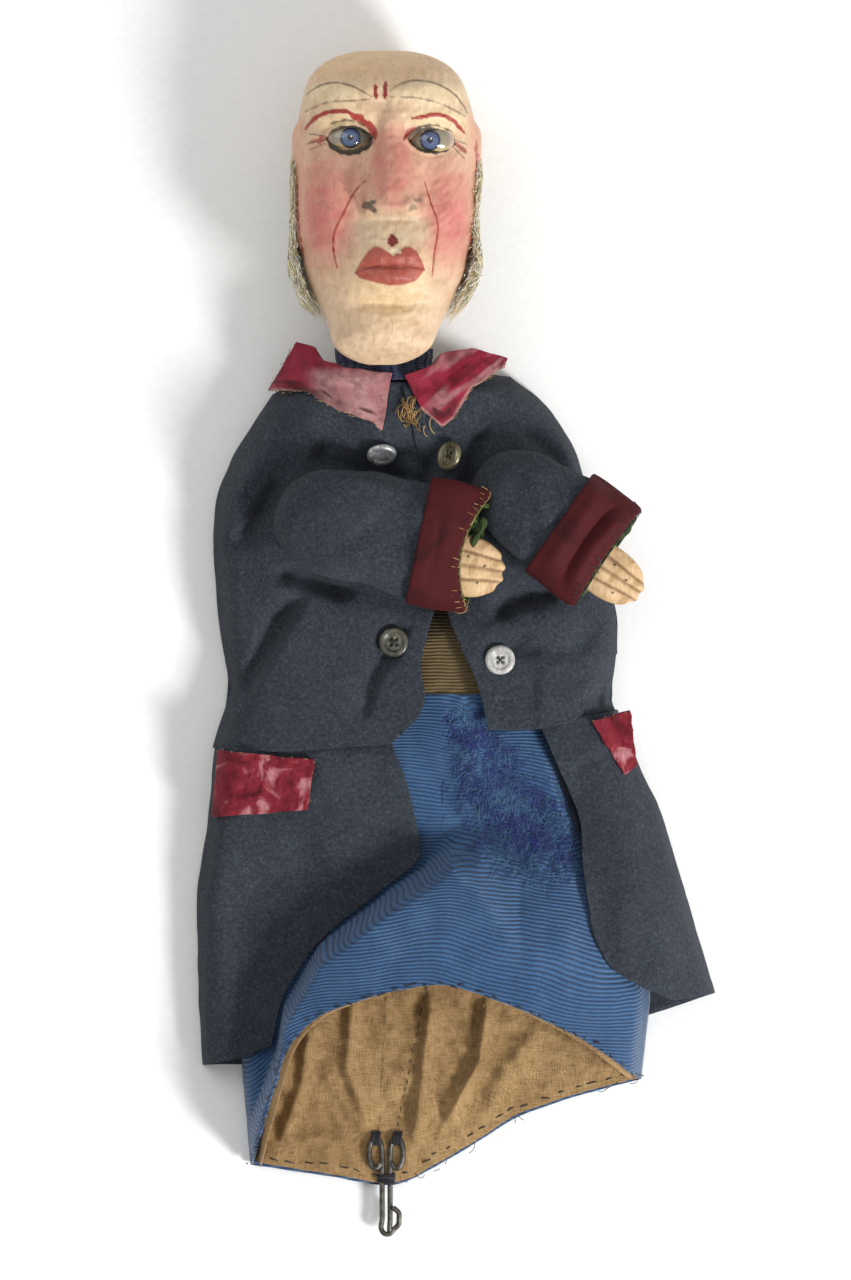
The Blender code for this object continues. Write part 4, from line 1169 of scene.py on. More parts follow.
    def puff(self, x: Array, y: Array) -> Array:
        """How far the loose cloth stands off the chest: most at the flanks, and none at the buttons or under the arms.
        """
        free = np.ones_like(x)
        for bx, by in ((-9, 119), (24, 118), (-3, 24), (50, 15)):
            free = free * (1 - np.exp(-(((x - bx) ** 2 + (y - by) ** 2) / 13.0**2)))
        slope = 0.7 * sum(
            -(lx * (x - bx) + ly * (y - by)) * np.exp(-(((x - bx) ** 2 + (y - by) ** 2) / 11.0**2))
            for bx, by, lx, ly in BUTTON_LEANS.values()
        )
        return 5.5 * free * (1 - self.under_arms(x, y)) * smooth((128 - y) / 24) + slope

    def skirts(self) -> None:
        """The two skirts, hung from the waist seam."""
        panels = {
            "right": (
                [SKIRT_RIGHT_SIDE[0], (-60, -30), SKIRT_RIGHT_EDGE[0]],
                [SKIRT_RIGHT_SIDE[-1], (-78, -184), SKIRT_RIGHT_EDGE[-1]], SKIRT_RIGHT_SIDE, SKIRT_RIGHT_EDGE
            ),
            "left": (
                [SKIRT_LEFT_EDGE[0], (88, -14), SKIRT_LEFT_SIDE[0]],
                [SKIRT_LEFT_EDGE[-1], (137, -155), SKIRT_LEFT_SIDE[-1]], SKIRT_LEFT_EDGE, SKIRT_LEFT_SIDE
            ),
        }
        for seed, (side, (top, bottom, right, left)) in enumerate(panels.items()):
            x, y = patch(top, bottom, right, left, self.rows, 110, 0.5, 40 + seed)
            height = BODY.tail_height(x, y) - 2.4 * smooth((y + 34) / 14) * (1 if side == "right" else 0.5)
            inside = smooth(inset(x, y, SKIRT_RIGHT_SIDE, SKIRT_LEFT_SIDE) / 16)
            points = np.stack([x, y, height], axis=-1)
            points[..., 2] += drape(x, y, np.zeros_like(x), list(self.tail_folds), 52 + seed, 0.6)[..., 2] * inside
            points[..., 2] = np.maximum(points[..., 2], np.minimum(height, BODY.skirt_height(x, y) + 2.0))
            points = pinned(points, BODY.coat_seam, side == "right", side == "left")
            name = "coat_skirt_" + side
            sheet_piece(
                name + "_felt", points, Finishes.COAT_FELT, self.felt, name,
            )

    def back(self) -> None:
        """The back and the back skirt, flat on the table with a shallow waver."""
        upper = (
            COAT_RIGHT_SIDE[:-1], COAT_LEFT_SIDE[:-2],
            [(-64, 148), (-46, 158), (-30, 163), (14, 165), (30, 160), (55, 157)], [(-85, 0), (0, -4), (105, 0)]
        )
        lower = (
            [(-85, -1), (-92, -30)] + SKIRT_RIGHT_SIDE[1:], [(105, -1), (108, -12)] + SKIRT_LEFT_SIDE[1:],
            [(-85, -1), (0, -5), (105, -1)], [(-99, -188), (20, -186), (110, -168), (158, -152)]
        )
        for name, (right, left, top, bottom) in (("coat_back", upper), ("coat_skirt_back", lower)):
            x, y = patch(top, bottom, right, left, 60, 60, 0.4, 61)
            z = 2.0 + 0.15 * ripple(x, y, 62, 40)
            points = np.stack([x, y, z], axis=-1)
            sheet_piece(name + "_felt", points, Finishes.COAT_FELT, self.felt, name)

    def collar(self) -> None:
        """Two flaps of rubbed velvet, folded down from the neck, with curling points and raw edges."""
        shapes = {
            "right": (
                [(-52, 174), (-43, 172), (-39, 165), (-28, 161), (-4, 158)],
                [(-66, 150), (-46, 149), (-32, 140), (-14, 134), (-9, 129)], 71
            ),
            "left": (
                [(2, 157), (16, 162), (22, 169), (37, 171), (54, 166)],
                [(11, 140), (21, 131), (27, 136), (36, 151), (53, 163)], 73
            ),
        }
        folds = [
            Fold(((-50, 168), (-34, 152), (-16, 142)), 1.6, 4.0, 1.6),
            Fold(((-58, 152), (-40, 148), (-24, 140)), -1.0, 3.0),
            Fold(((8, 149), (22, 146), (34, 156), (46, 164)), 1.8, 3.5, 1.5),
            Fold(((14, 138), (22, 138), (30, 146)), -1.0, 2.6),
        ]
        for side, (top, bottom, seed) in shapes.items():
            x, y = patch(top, bottom, [top[0], bottom[0]], [top[-1], bottom[-1]], 70, 110, 0.7, seed, 0.02)
            base = BODY.coat_height(x, np.minimum(y, 146)) + 3.6
            wing = smooth((np.abs(x - BODY.neck_x) - 22) / 12)
            base = np.where(y > 150, base + smooth((y - 150) / 8) * (1.4 * (1 - wing) - wing * 0.4 * (y - 150)), base)
            away = np.abs(x - BODY.neck_x)
            lift = (
                3.7 * np.exp(-((away / 32) ** 4)) if side == "right"
                else 1.5 * np.exp(-((away / 18) ** 4)) - 1.0 * smooth((away - 20) / 6)
            )
            base = base + lift * smooth((y - 151) / 5)
            points = drape(x, y, base, folds, seed, 0.5, 16)
            obj = sheet_piece(
                f"collar_{side}_velvet", points, Finishes.COLLAR, 1.4, "collar_" + side,
            )
            attribute(obj, "paint", self.collar_wear_and_crease_shade(side, x, y, bottom, folds).reshape(-1, 3))
            rim = np.concatenate([points[-1, ::-1], points[::-1, 0]]) if side == "right" else points[-1]
            running_stitch(
                "gold_thread", f"collar_{side}_raw_edge", rim, 1.5, 0.4, 0.16, Finishes.OCHRE_THREAD, seed + 5, 0.25,
                0.8
            )

    @staticmethod
    def collar_wear_and_crease_shade(side: str, x: Array, y: Array, hem: Points, folds: list[Fold]) -> Array:
        """The collar's colours: rosy where it is rubbed, crimson at the ends, painted shade that darkens the creases,
        and a darker band along the turned hem.

        Args:
            side: Right or left.
            x: Across, in mm.
            y: Along, in mm.
            hem: Its lower edge.
            folds: Its folds, whose valleys get painted shade.

        Returns:
            A linear colour for each point.
        """
        # Crimson pile, rosy rubbed ground, and a dark red for the painted shade in the creases.
        crimson, rose, dark = map(rgb, ("#951F38", "#BF8E8C", "#430C17"))
        blot = ripple(x, y, 301, 13)
        if side == "right":
            rubbed = smooth((x + 50) / 12) * smooth((2 - x) / 12) * (0.88 + 0.12 * blot) * smooth((161 - y) / 5 + 0.3)
        else:
            rubbed = 0.6 * smooth((ripple(0.35 * (x + y), 1.5 * (y - x), 305, 17) + 0.1) / 1.2) * smooth((x - 8) / 14)
        edge = to_path(x, y, hem)[0]
        rubbed = np.clip(np.maximum(rubbed, 0.75 * smooth((1.8 - edge) / 1.2)), 0, 1)
        # Painted shade: darker in the fold valleys, and a darker band along the turned hem.
        crease = np.clip(
            -sum(fold.at(x, y) for fold in folds) * 0.9
            + 0.9 * smooth((1.6 - np.abs(edge - 4.4)) / 1.6) * (0.6 + 0.4 * blot),
            0, 0.85
        )
        colour = crimson + (rose - crimson) * rubbed[..., None]
        return colour + (dark - colour) * crease[..., None]

    def flaps(self) -> None:
        """Pocket flaps of crushed velvet, crumpled, with stitches along two edges."""
        shapes = {
            "right": ([(-91.5, -30), (-43, -35)], [(-94.5, -63.5), (-46, -60)], 81),
            "left": ([(96, -15.5), (115, -10.5)], [(113, -42.5), (118.6, -37.5)], 83)
        }
        for side, (top, bottom, seed) in shapes.items():
            x, y = patch(top, bottom, [top[0], bottom[0]], [top[1], bottom[1]], 70, 90, 0.4, seed, 0.01)
            points = drape(
                x, y, BODY.tail_height(np.minimum(x, side_at(SKIRT_LEFT_SIDE, y) - 5), y) + 3.4, [], seed, 0.6, 11
            )
            sheet_piece(
                f"pocket_flap_{side}_velvet", points, Finishes.CRIMSON, 1.5, "pocket_flap_" + side,
            )
            rim = np.concatenate([points[0], points[:, -1]])
            running_stitch(
                "gold_thread", f"pocket_flap_{side}_stitches", rim, 1.6, 4.5, 0.15, Finishes.OCHRE_THREAD, seed + 5,
                0.35, 0.7
            )

    def braid(self) -> None:
        """Gold thread left at the throat: loose loops from a seam that has come undone."""
        draw = np.random.default_rng(91)
        count, steps = 30, 22
        t = np.linspace(0, 1, steps)
        centre = np.stack([draw.normal(4, 3.0, count), draw.uniform(131, 146, count)], axis=-1)
        centre[:, 0] += np.where(centre[:, 1] < 137, draw.uniform(-2, 9, count), 0)
        turn = draw.uniform(0, 2 * math.pi, (count, 1)) + draw.uniform(2, 8, (count, 1)) * t
        reach = draw.uniform(0.8, 2.4, (count, 1)) * (0.5 + t)
        x = centre[:, :1] + reach * np.cos(turn) + draw.normal(0, 1.6, (count, 1)) * t
        y = centre[:, 1:] + reach * np.sin(turn) * 1.5 - draw.uniform(0, 5, (count, 1)) * t
        z = BODY.coat_height(x, np.minimum(y, 146)) + 0.8 + draw.uniform(0, 2.2, (count, 1)) * np.sin(math.pi * t)
        place(
            strands(
                "gold_thread_tangle", np.stack([x, y, z], axis=-1), 0.24, Finishes.GOLD_THREAD.value, 4,
                draw.uniform(0, 1, count)
            ),
            TRUNK, "gold_thread", "collar_gold_thread"
        )

    def seams(self, right: Array, left: Array) -> None:
        """Small stitches along the cut edges of the two fronts."""
        for name, path, seed in (("front_right", right[:, -1], 95), ("front_left", left[:, 0], 96)):
            path = path + np.array([0, 0, 0.2])
            running_stitch(
                "black_thread", f"coat_{name}_edge_stitches", path, 1.6, 5.5, 0.16, Finishes.BLACK_THREAD, seed, 0.2
            )

    def build(self) -> None:
        """Makes every piece of the coat but its buttons and sleeves."""
        right = self.front("right", self.right_top, self.right_hem, (tuple(COAT_RIGHT_SIDE), self.right_edge), 31)
        left = self.front("left", self.left_top, self.left_hem, (self.left_edge, tuple(COAT_LEFT_SIDE)), 33)
        self.skirts()
        self.back()
        self.collar()
        self.flaps()
        self.braid()
        self.seams(right, left)


@dataclass
class Button:
    """A turned button with a raised rim, a dished middle, four holes and crossed thread."""

    name: str
    finish: Finishes
    holes: bool = True
    tilt: float = 1.0
    spread: float = 1.75
    hole: float = 1.05

    def build(self) -> None:
        """Makes the button in the plane of its CAD node: a profile turned round the node's own axis, with round dimples
        for the holes.
        """
        node = frame["nodes"][self.name]
        corners = np.array([vertex.co[:] for vertex in node.data.vertices]) / MM
        centre = corners.mean(axis=0)
        normal = np.linalg.svd(corners - centre)[2][2]
        normal *= np.sign(normal[2])
        flat = normal / normal[2] * np.array([self.tilt, self.tilt, 1])
        if self.name in BUTTON_LEANS:
            flat = np.array([*BUTTON_LEANS[self.name][2:], 1.0])
            centre = centre + np.array([0, 0, 1.8])
        normal = flat / np.linalg.norm(flat)
        side = np.cross(np.array([0, 1.0, 0]), normal)
        side /= np.linalg.norm(side)
        up = np.cross(normal, side)
        radius = np.array(
            [
                0.0, 7.0, 7.4, 7.5, 7.4, 7.0, 6.5, 6.0, 5.5, 5.0, 4.6, 4.2, 3.9, 3.5, 3.0, 2.6, 2.2, 1.8, 1.4, 1.0, 0.6,
                0.2
            ]
        )
        height = np.array(
            [
                -1.3, -1.3, -1.0, -0.4, 0.4, 1.0, 1.35, 1.45, 1.4, 1.2, 0.8, 0.45, 0.35, 0.32, 0.3, 0.3, 0.3, 0.3, 0.3,
                0.3, 0.3, 0.3
            ]
        )
        turn = circle(72)
        u = radius[:, None] * np.cos(turn)
        v = radius[:, None] * np.sin(turn)
        w = np.repeat(height[:, None], 72, axis=1)
        spots = [
            (self.spread * math.cos(a), self.spread * math.sin(a)) for a in (math.pi / 4 + math.pi / 2 * np.arange(4))
        ]
        if self.holes:
            for a, b in spots:
                w = np.where(w > 0.2, w - 1.5 * smooth((self.hole - np.hypot(u - a, v - b)) / 0.4), w)
        points = centre + u[..., None] * side + v[..., None] * up + w[..., None] * normal
        obj = surface(self.name + "_turned", points[1:], self.finish.value, wrap=True, caps=True)
        place(obj, TRUNK, "pearl", self.name)
        if self.holes:
            t = np.linspace(-1, 1, 7)[:, None]
            paths = []
            for index in range(4):
                a, b = np.array(spots[index % 2]), np.array(spots[index % 2 + 2])
                flat = (a + b) / 2 + (b - a) / 2 * t + (0.18 if index > 1 else -0.1)
                paths.append(centre + flat[:, :1] * side + flat[:, 1:] * up + (0.75 - 1.5 * np.abs(t) ** 3) * normal)
            place(
                strands(self.name + "_thread", np.array(paths), 0.2, Finishes.BLACK_THREAD.value, 4), TRUNK,
                "black_thread"
            )


# ---------------------------------------------------------------- glove


@dataclass
class Glove:
    """The glove: a brown ribbed chest, a blue ribbed skirt with a frayed patch, and a linen lining seen in its mouth.
    """

    cloth: float = 1.4
    lining: float = 1.0
    fray: tuple = ((33, -14), (42, -34), (48, -52), (60, -68), (76, -84))

    skirt_folds: tuple = (
        Fold(((2, -96), (22, -80), (40, -70), (56, -72)), -3.4, 6.0, 2.0),
        Fold(((66, -36), (82, -50), (88, -72)), 2.0, 8.0),
        Fold(((30, -20), (42, -44), (52, -66)), 2.4, 9.0),
        Fold(((50, -94), (70, -90), (92, -96)), 1.4, 6.0),
        Fold(((14, -40), (24, -56), (30, -72)), -1.4, 6.0),
        Fold(((-50, -176), (-58, -200), (-66, -226)), 1.4, 8.0),
    )
    lining_folds: tuple = (
        Fold(((44, -150), (40, -185), (20, -222)), 6.8, 3.9, 0.5),
        Fold(((16, -146), (12, -190), (6, -235)), 5.2, 4.1, 0.7),
        Fold(((-24, -152), (-26, -190), (-14, -224)), 4.2, 3.3),
        Fold(((-44, -165), (-50, -200), (-62, -232)), 4.4, 4.4, 0.6),
        Fold(((72, -165), (54, -190), (40, -216)), 2.9, 5.0),
        Fold(((-34, -206), (-24, -222), (-14, -236)), -2.3, 2.2),
        Fold(((-58, -228), (-40, -224), (-24, -230)), 2.1, 2.8),
    )

    def chest(self) -> None:
        """The brown ribbed chest, its ribs across, and its flat back."""
        right, left = [(-42, 152)] + CHEST_RIGHT_SIDE, [(34, 152)] + CHEST_LEFT_SIDE
        x, y = patch([right[0], left[0]], [right[-1], left[-1]], right, left, 90, 90, 0.3, 101)
        height = BODY.chest_height(x, y)
        gap = smooth((40 - np.hypot(x - 24, y - 6)) / 20)
        points = drape(x, y, height - 0.5, [], 101, 0.5, 18)
        points[..., 2] = np.maximum(
            height - 0.6 - 10.0 * (1 - gap) * smooth((126 - y) / 20) + (points[..., 2] - height) * gap, 6.0
        )
        points = shouldered(points, 6.0, 8)
        uv = np.stack([x, y], axis=-1) * MM
        sheet_piece(
            "glove_chest_cloth", points, Finishes.BROWN_REP, self.cloth, "glove_chest_front",
            uv
        )
        flat = np.stack([x, y, np.full_like(x, 4.0)], axis=-1)
        sheet_piece(
            "glove_chest_back_cloth", flat, Finishes.BROWN_REP, self.cloth, "glove_chest_back",
            uv
        )

    def skirt(self) -> Array:
        """The blue front: it is gathered at the waist and swells into the dome over the mouth. Returns its grid."""
        x, y = patch(
            [GLOVE_RIGHT_SIDE[0], GLOVE_LEFT_SIDE[0]], FRONT_HEM, GLOVE_RIGHT_SIDE, GLOVE_LEFT_SIDE, 190, 170, 0.25,
            111, 0.03
        )
        height = BODY.skirt_height(x, y)
        inside = smooth(inset(x, y, GLOVE_RIGHT_SIDE, GLOVE_LEFT_SIDE) / 12)
        points = np.stack([x, y, height], axis=-1)
        points[..., 2] += drape(x, y, np.zeros_like(x), list(self.skirt_folds), 112, 0.45, 30)[..., 2] * inside
        worn = smooth((15 - to_path(x, y, list(self.fray))[0]) / 8)
        points[..., 2] += worn * 0.6 * ripple(x, y, 114, 7)
        points = pinned(points, BODY.seam, True, True, 5)
        lean = 0.06 * x + 2.2 * ripple(x, y, 115, 90) + worn * 0.8 * ripple(x, y, 116, 12)
        row = y[:, y.shape[1] // 2 : y.shape[1] // 2 + 1]
        uv = np.stack([x, 0.5 * y + 0.5 * row + lean + 0.35 * height], axis=-1) * MM
        sheet_piece(
            "glove_skirt_cloth", points, Finishes.BLUE_REP, self.cloth, "glove_skirt_front",
            uv
        )
        return points

    def backs(self) -> Array:
        """The blue back, and the linen lining over it with folds that run to the hook. Returns the lining's grid."""
        x, y = patch(
            [GLOVE_RIGHT_SIDE[0], GLOVE_LEFT_SIDE[0]], BACK_HEM, GLOVE_RIGHT_SIDE, GLOVE_LEFT_SIDE, 90, 80, 0.3, 121
        )
        flat = np.stack([x, y, np.full_like(x, 4.0) + 0.1 * ripple(x, y, 122, 30)], axis=-1)
        uv = np.stack([x, y], axis=-1) * MM
        sheet_piece(
            "glove_skirt_back_cloth", flat, Finishes.BLUE_REP, self.cloth, "glove_skirt_back",
            uv
        )
        right = [(a + 1.4, b) for a, b in GLOVE_RIGHT_SIDE[:-1]] + [(-73.6, -236.4)]
        left = [(a - 1.6, b) for a, b in GLOVE_LEFT_SIDE[:-1]] + [(119, -194.6)]
        hem = [right[-1]] + [(a, b + 1.3) for a, b in BACK_HEM[1:-1]] + [left[-1]]
        x, y = patch([right[0], left[0]], hem, right, left, 190, 170, 0.35, 123, 0.03)
        room = BODY.skirt_height(x, y) - 7.5
        points = np.stack([x, y, np.full_like(x, 6.1)], axis=-1)
        hemmed = smooth(to_path(x, y, hem)[0] / 9)
        swell = drape(x, y, np.zeros_like(x), list(self.lining_folds), 125, 0.7, 15)[..., 2] + 0.9
        edge = smooth(inset(x, y, GLOVE_RIGHT_SIDE, GLOVE_LEFT_SIDE) / 10)
        swell = np.where(swell > 0, swell, 0.12 * swell) * (0.12 + 0.88 * hemmed) * edge
        points[..., 2] += np.clip(np.minimum(swell, room - 6.5), 0, None)
        sheet_piece(
            "lining_back_linen", points, Finishes.LINEN, self.lining, "lining_back",
        )
        return points

    def lining_front(self) -> None:
        """The lining under the blue front, turned over its hem."""
        x, y = patch(
            [GLOVE_RIGHT_SIDE[0], GLOVE_LEFT_SIDE[0]], FRONT_HEM, GLOVE_RIGHT_SIDE, GLOVE_LEFT_SIDE, 130, 120, 0.25,
            131, 0.03
        )
        x, y = 24 + (x - 24) * 0.955, y - 0.6 + 0.012 * (y + 200) * (y < 0)
        height = BODY.skirt_height(x, y) - 2.8 - 4.5 * smooth((y + 150) / 20)
        points = pinned(np.stack([x, y, np.maximum(height, 7.2)], axis=-1), 7.2, True, True, 5)
        sheet_piece(
            "lining_front_linen", points, Finishes.LINEN, self.lining, "lining_front",
        )

    def frayed(self) -> None:
        """The patch where the silk warp has worn through: loose threads, violet and blue, lying every way across the
        ribs.
        """
        draw = np.random.default_rng(141)
        count, steps = 2600, 6
        share = draw.uniform(0, 1, count)
        at = resample(list(self.fray), share)
        spread = 4.0 + 8.0 * smooth(share / 0.7)
        at += draw.normal(0, 1, (count, 2)) * np.stack([spread, 0.7 * spread], axis=-1)
        t = np.linspace(-0.5, 0.5, steps)
        upright = draw.uniform(0, 1, count) < 0.3
        turn = np.where(upright, draw.normal(1.45, 0.45, count), draw.normal(0.2, 0.5, count))[:, None]
        bend = draw.normal(0, 1.6, (count, 1))
        length = draw.uniform(2, 8, (count, 1))
        x = at[:, :1] + length * t * np.cos(turn) + bend * np.sin(2 * math.pi * t) * np.sin(turn)
        y = at[:, 1:] + length * t * np.sin(turn) + bend * np.cos(2.6 * math.pi * t)
        x, y = np.clip(x, 22, 92), np.minimum(y, -3)
        folds = sum(fold.at(x, y) for fold in self.skirt_folds)
        z = (
            BODY.skirt_height(x, y) + folds + draw.uniform(0.0, 0.7, (count, 1))
            + draw.uniform(0, 0.8, (count, 1)) * np.cos(math.pi * t)
        )
        tint = np.clip(draw.normal(0.45, 0.3, count) + 0.3 * (ripple(at[:, 0], at[:, 1], 143, 20) > 0.4), 0, 1)
        place(
            strands(
                "frayed_silk", np.stack([x, y, z], axis=-1), draw.uniform(0.1, 0.2, (count, 1)),
                Finishes.BLUE_THREAD.value, 3, tint
            ),
            TRUNK, "blue_rep"
        )

    def sewing(self, skirt: Array, back: Array) -> None:
        """Black whip stitches round the mouth, the two long seams of the lining, and loose ends of thread."""
        draw = np.random.default_rng(151)
        hem = skirt[-1] + np.array([0, 0.9, 0.15])
        running_stitch("black_thread", "front_hem_stitches", hem, 2.8, 3.2, 0.34, Finishes.BLACK_THREAD, 152, 0.8, 1.4)
        low = back[-4] + np.array([0, 0.4, 0.2])
        running_stitch("black_thread", "back_hem_stitches", low, 4.6, 4.0, 0.3, Finishes.BLACK_THREAD, 153, 0.5, 1.0)
        for index, (name, x0, x1, tone) in enumerate(
            (
                ("seam_middle", 15, -2, Finishes.BLACK_THREAD), ("seam_right", -6, -10, Finishes.OCHRE_THREAD),
                ("seam_left", 47, 24, Finishes.OCHRE_THREAD)
            )
        ):
            y = np.linspace(-140, -222, 60)
            x = np.interp(y, (-222, -140), (x1, x0))
            line = np.stack([x, y, self.over(back, x, y) + 0.25], axis=-1)
            running_stitch("black_thread", "lining_" + name, line, 2.4, 2.2, 0.2, tone, 154 + index, 0.3, 0.3)
        starts = np.concatenate(
            [
                back[-1][draw.integers(5, 165, 9)], skirt[-1][draw.integers(10, 160, 6)],
                np.array([[120, -195, 6], [119, -196, 6], [-8, -248, 7], [12, -243, 7], [20, -240, 7]])
            ]
        )
        t = np.linspace(0, 1, 9)
        turn = draw.uniform(math.pi * 1.1, math.pi * 1.9, (len(starts), 1)) + draw.normal(0, 1.2, (len(starts), 1)) * t
        run = draw.uniform(2, 7, (len(starts), 1)) * t
        ends = starts[:, None] + np.stack(
            [run * np.cos(turn), run * np.sin(turn), np.maximum(-starts[:, 2:] * 0.12 * t, -2) + 0.5], axis=-1
        )
        ends[..., 2] = np.maximum(ends[..., 2], 0.6)
        place(
            strands("loose_thread_ends", ends, 0.16, Finishes.BLACK_THREAD.value, 4, draw.uniform(0, 1, len(starts))),
            TRUNK, "black_thread"
        )

    @staticmethod
    def over(grid: Array, x: Array, y: Array) -> Array:
        """The height of a grid at places on it, read at its nearest point."""
        away = (grid[:, :, 0, None] - x) ** 2 + (grid[:, :, 1, None] - y) ** 2
        return grid[..., 2].reshape(-1)[away.reshape(-1, len(x)).argmin(axis=0)]

    def build(self) -> None:
        """Makes every piece of the glove."""
        self.chest()
        skirt = self.skirt()
        back = self.backs()
        self.lining_front()
        self.frayed()
        self.sewing(skirt, back)


@dataclass
class Hook:
    """The iron hanging hook: two eyes sewn to the hem, a doubled shank and a curl, with its lashings."""

    x: float = -7.0
    y: float = -226.0
    z: float = 7.8
    wire: float = 1.35
    eye: float = 3.3
    reach: float = 48.0

    def build(self) -> None:
        """Sweeps the wire along its bends, and winds black thread round the eyes and the hem."""
        half = 2.0
        turn = np.radians(np.linspace(-150, 180, 24))
        arms = {}
        for side in (-1, 1):
            ring = np.stack(
                [
                    self.x + side * (half + self.eye) + side * self.eye * np.cos(turn),
                    self.y - 6.2 + 7.8 * np.sin(turn), self.z + 0.9 * np.cos(turn / 2 + 0.26)
                ],
                axis=-1
            )
            shank = np.array(
                [[self.x + side * half, self.y - share, self.z] for share in (12, 18, 26, 34, self.reach - 8)]
            )
            arms[side] = np.concatenate([ring, shank])
        bend = np.radians(np.linspace(180, 330, 9))
        curl = np.stack(
            [self.x + 0.5 + 3.2 * np.cos(bend), self.y - self.reach + 5 + 4.0 * np.sin(bend), np.full(9, self.z)],
            axis=-1
        )
        path = rounded(
            np.concatenate(
                [
                    arms[-1], curl,
                    np.array(
                        [
                            [self.x + 6.4, self.y - self.reach + 6, self.z + 0.4],
                            [self.x + 6.6, self.y - self.reach + 12, self.z + 1.2],
                            [self.x + 3, self.y - self.reach + 15, self.z + 1.8]
                        ]
                    )
                ]
            ),
            150, 0.012
        )
        other = rounded(
            np.concatenate([arms[1], np.array([[self.x + 1.6, self.y - self.reach + 2, self.z]])]), 110, 0.012
        )
        for name, line, nodes in (("hook_wire", path, ("hanging_hook",)), ("hook_wire_second_leg", other, ())):
            share = np.linspace(0, 1, len(line))
            size = self.wire * np.clip(np.minimum(share, 1 - share) * 60 + 0.35, 0, 1)
            place(strands(name, line[None], size[None], Finishes.IRON.value, 14), "hook", "iron_wire", *nodes)
        draw = np.random.default_rng(161)
        t = np.linspace(0, 2 * math.pi, 17)
        coils = []
        for cx, cy, count, wide in (
            (self.x - 5.4, self.y + 1.2, 26, 2.8), (self.x + 5.4, self.y + 1.2, 26, 2.8), (self.x, self.y - 19, 24, 3.9)
        ):
            for _ in range(count):
                lean = draw.uniform(-2.2, 2.2)
                if wide > 3:
                    x, y = cx + (wide + 0.4) * np.cos(t), cy + lean + 0.8 * np.sin(t + lean)
                else:
                    x, y = cx + lean + 0.6 * np.cos(t), cy + (wide + 0.5) * np.cos(t)
                coils.append(
                    np.stack(
                        [x, y, np.maximum(self.z + (self.wire + 0.75) * np.sin(t), 6.2 if cy > -240 else 1.0)], axis=-1
                    )
                )
        place(
            strands(
                "hook_lashings", np.array(coils), 0.42, Finishes.BLACK_THREAD.value, 5, draw.uniform(0, 1, len(coils))
            ),
            TRUNK, "black_thread", "hook_lashing_left", "hook_lashing_right"
        )


# ---------------------------------------------------------------- arms


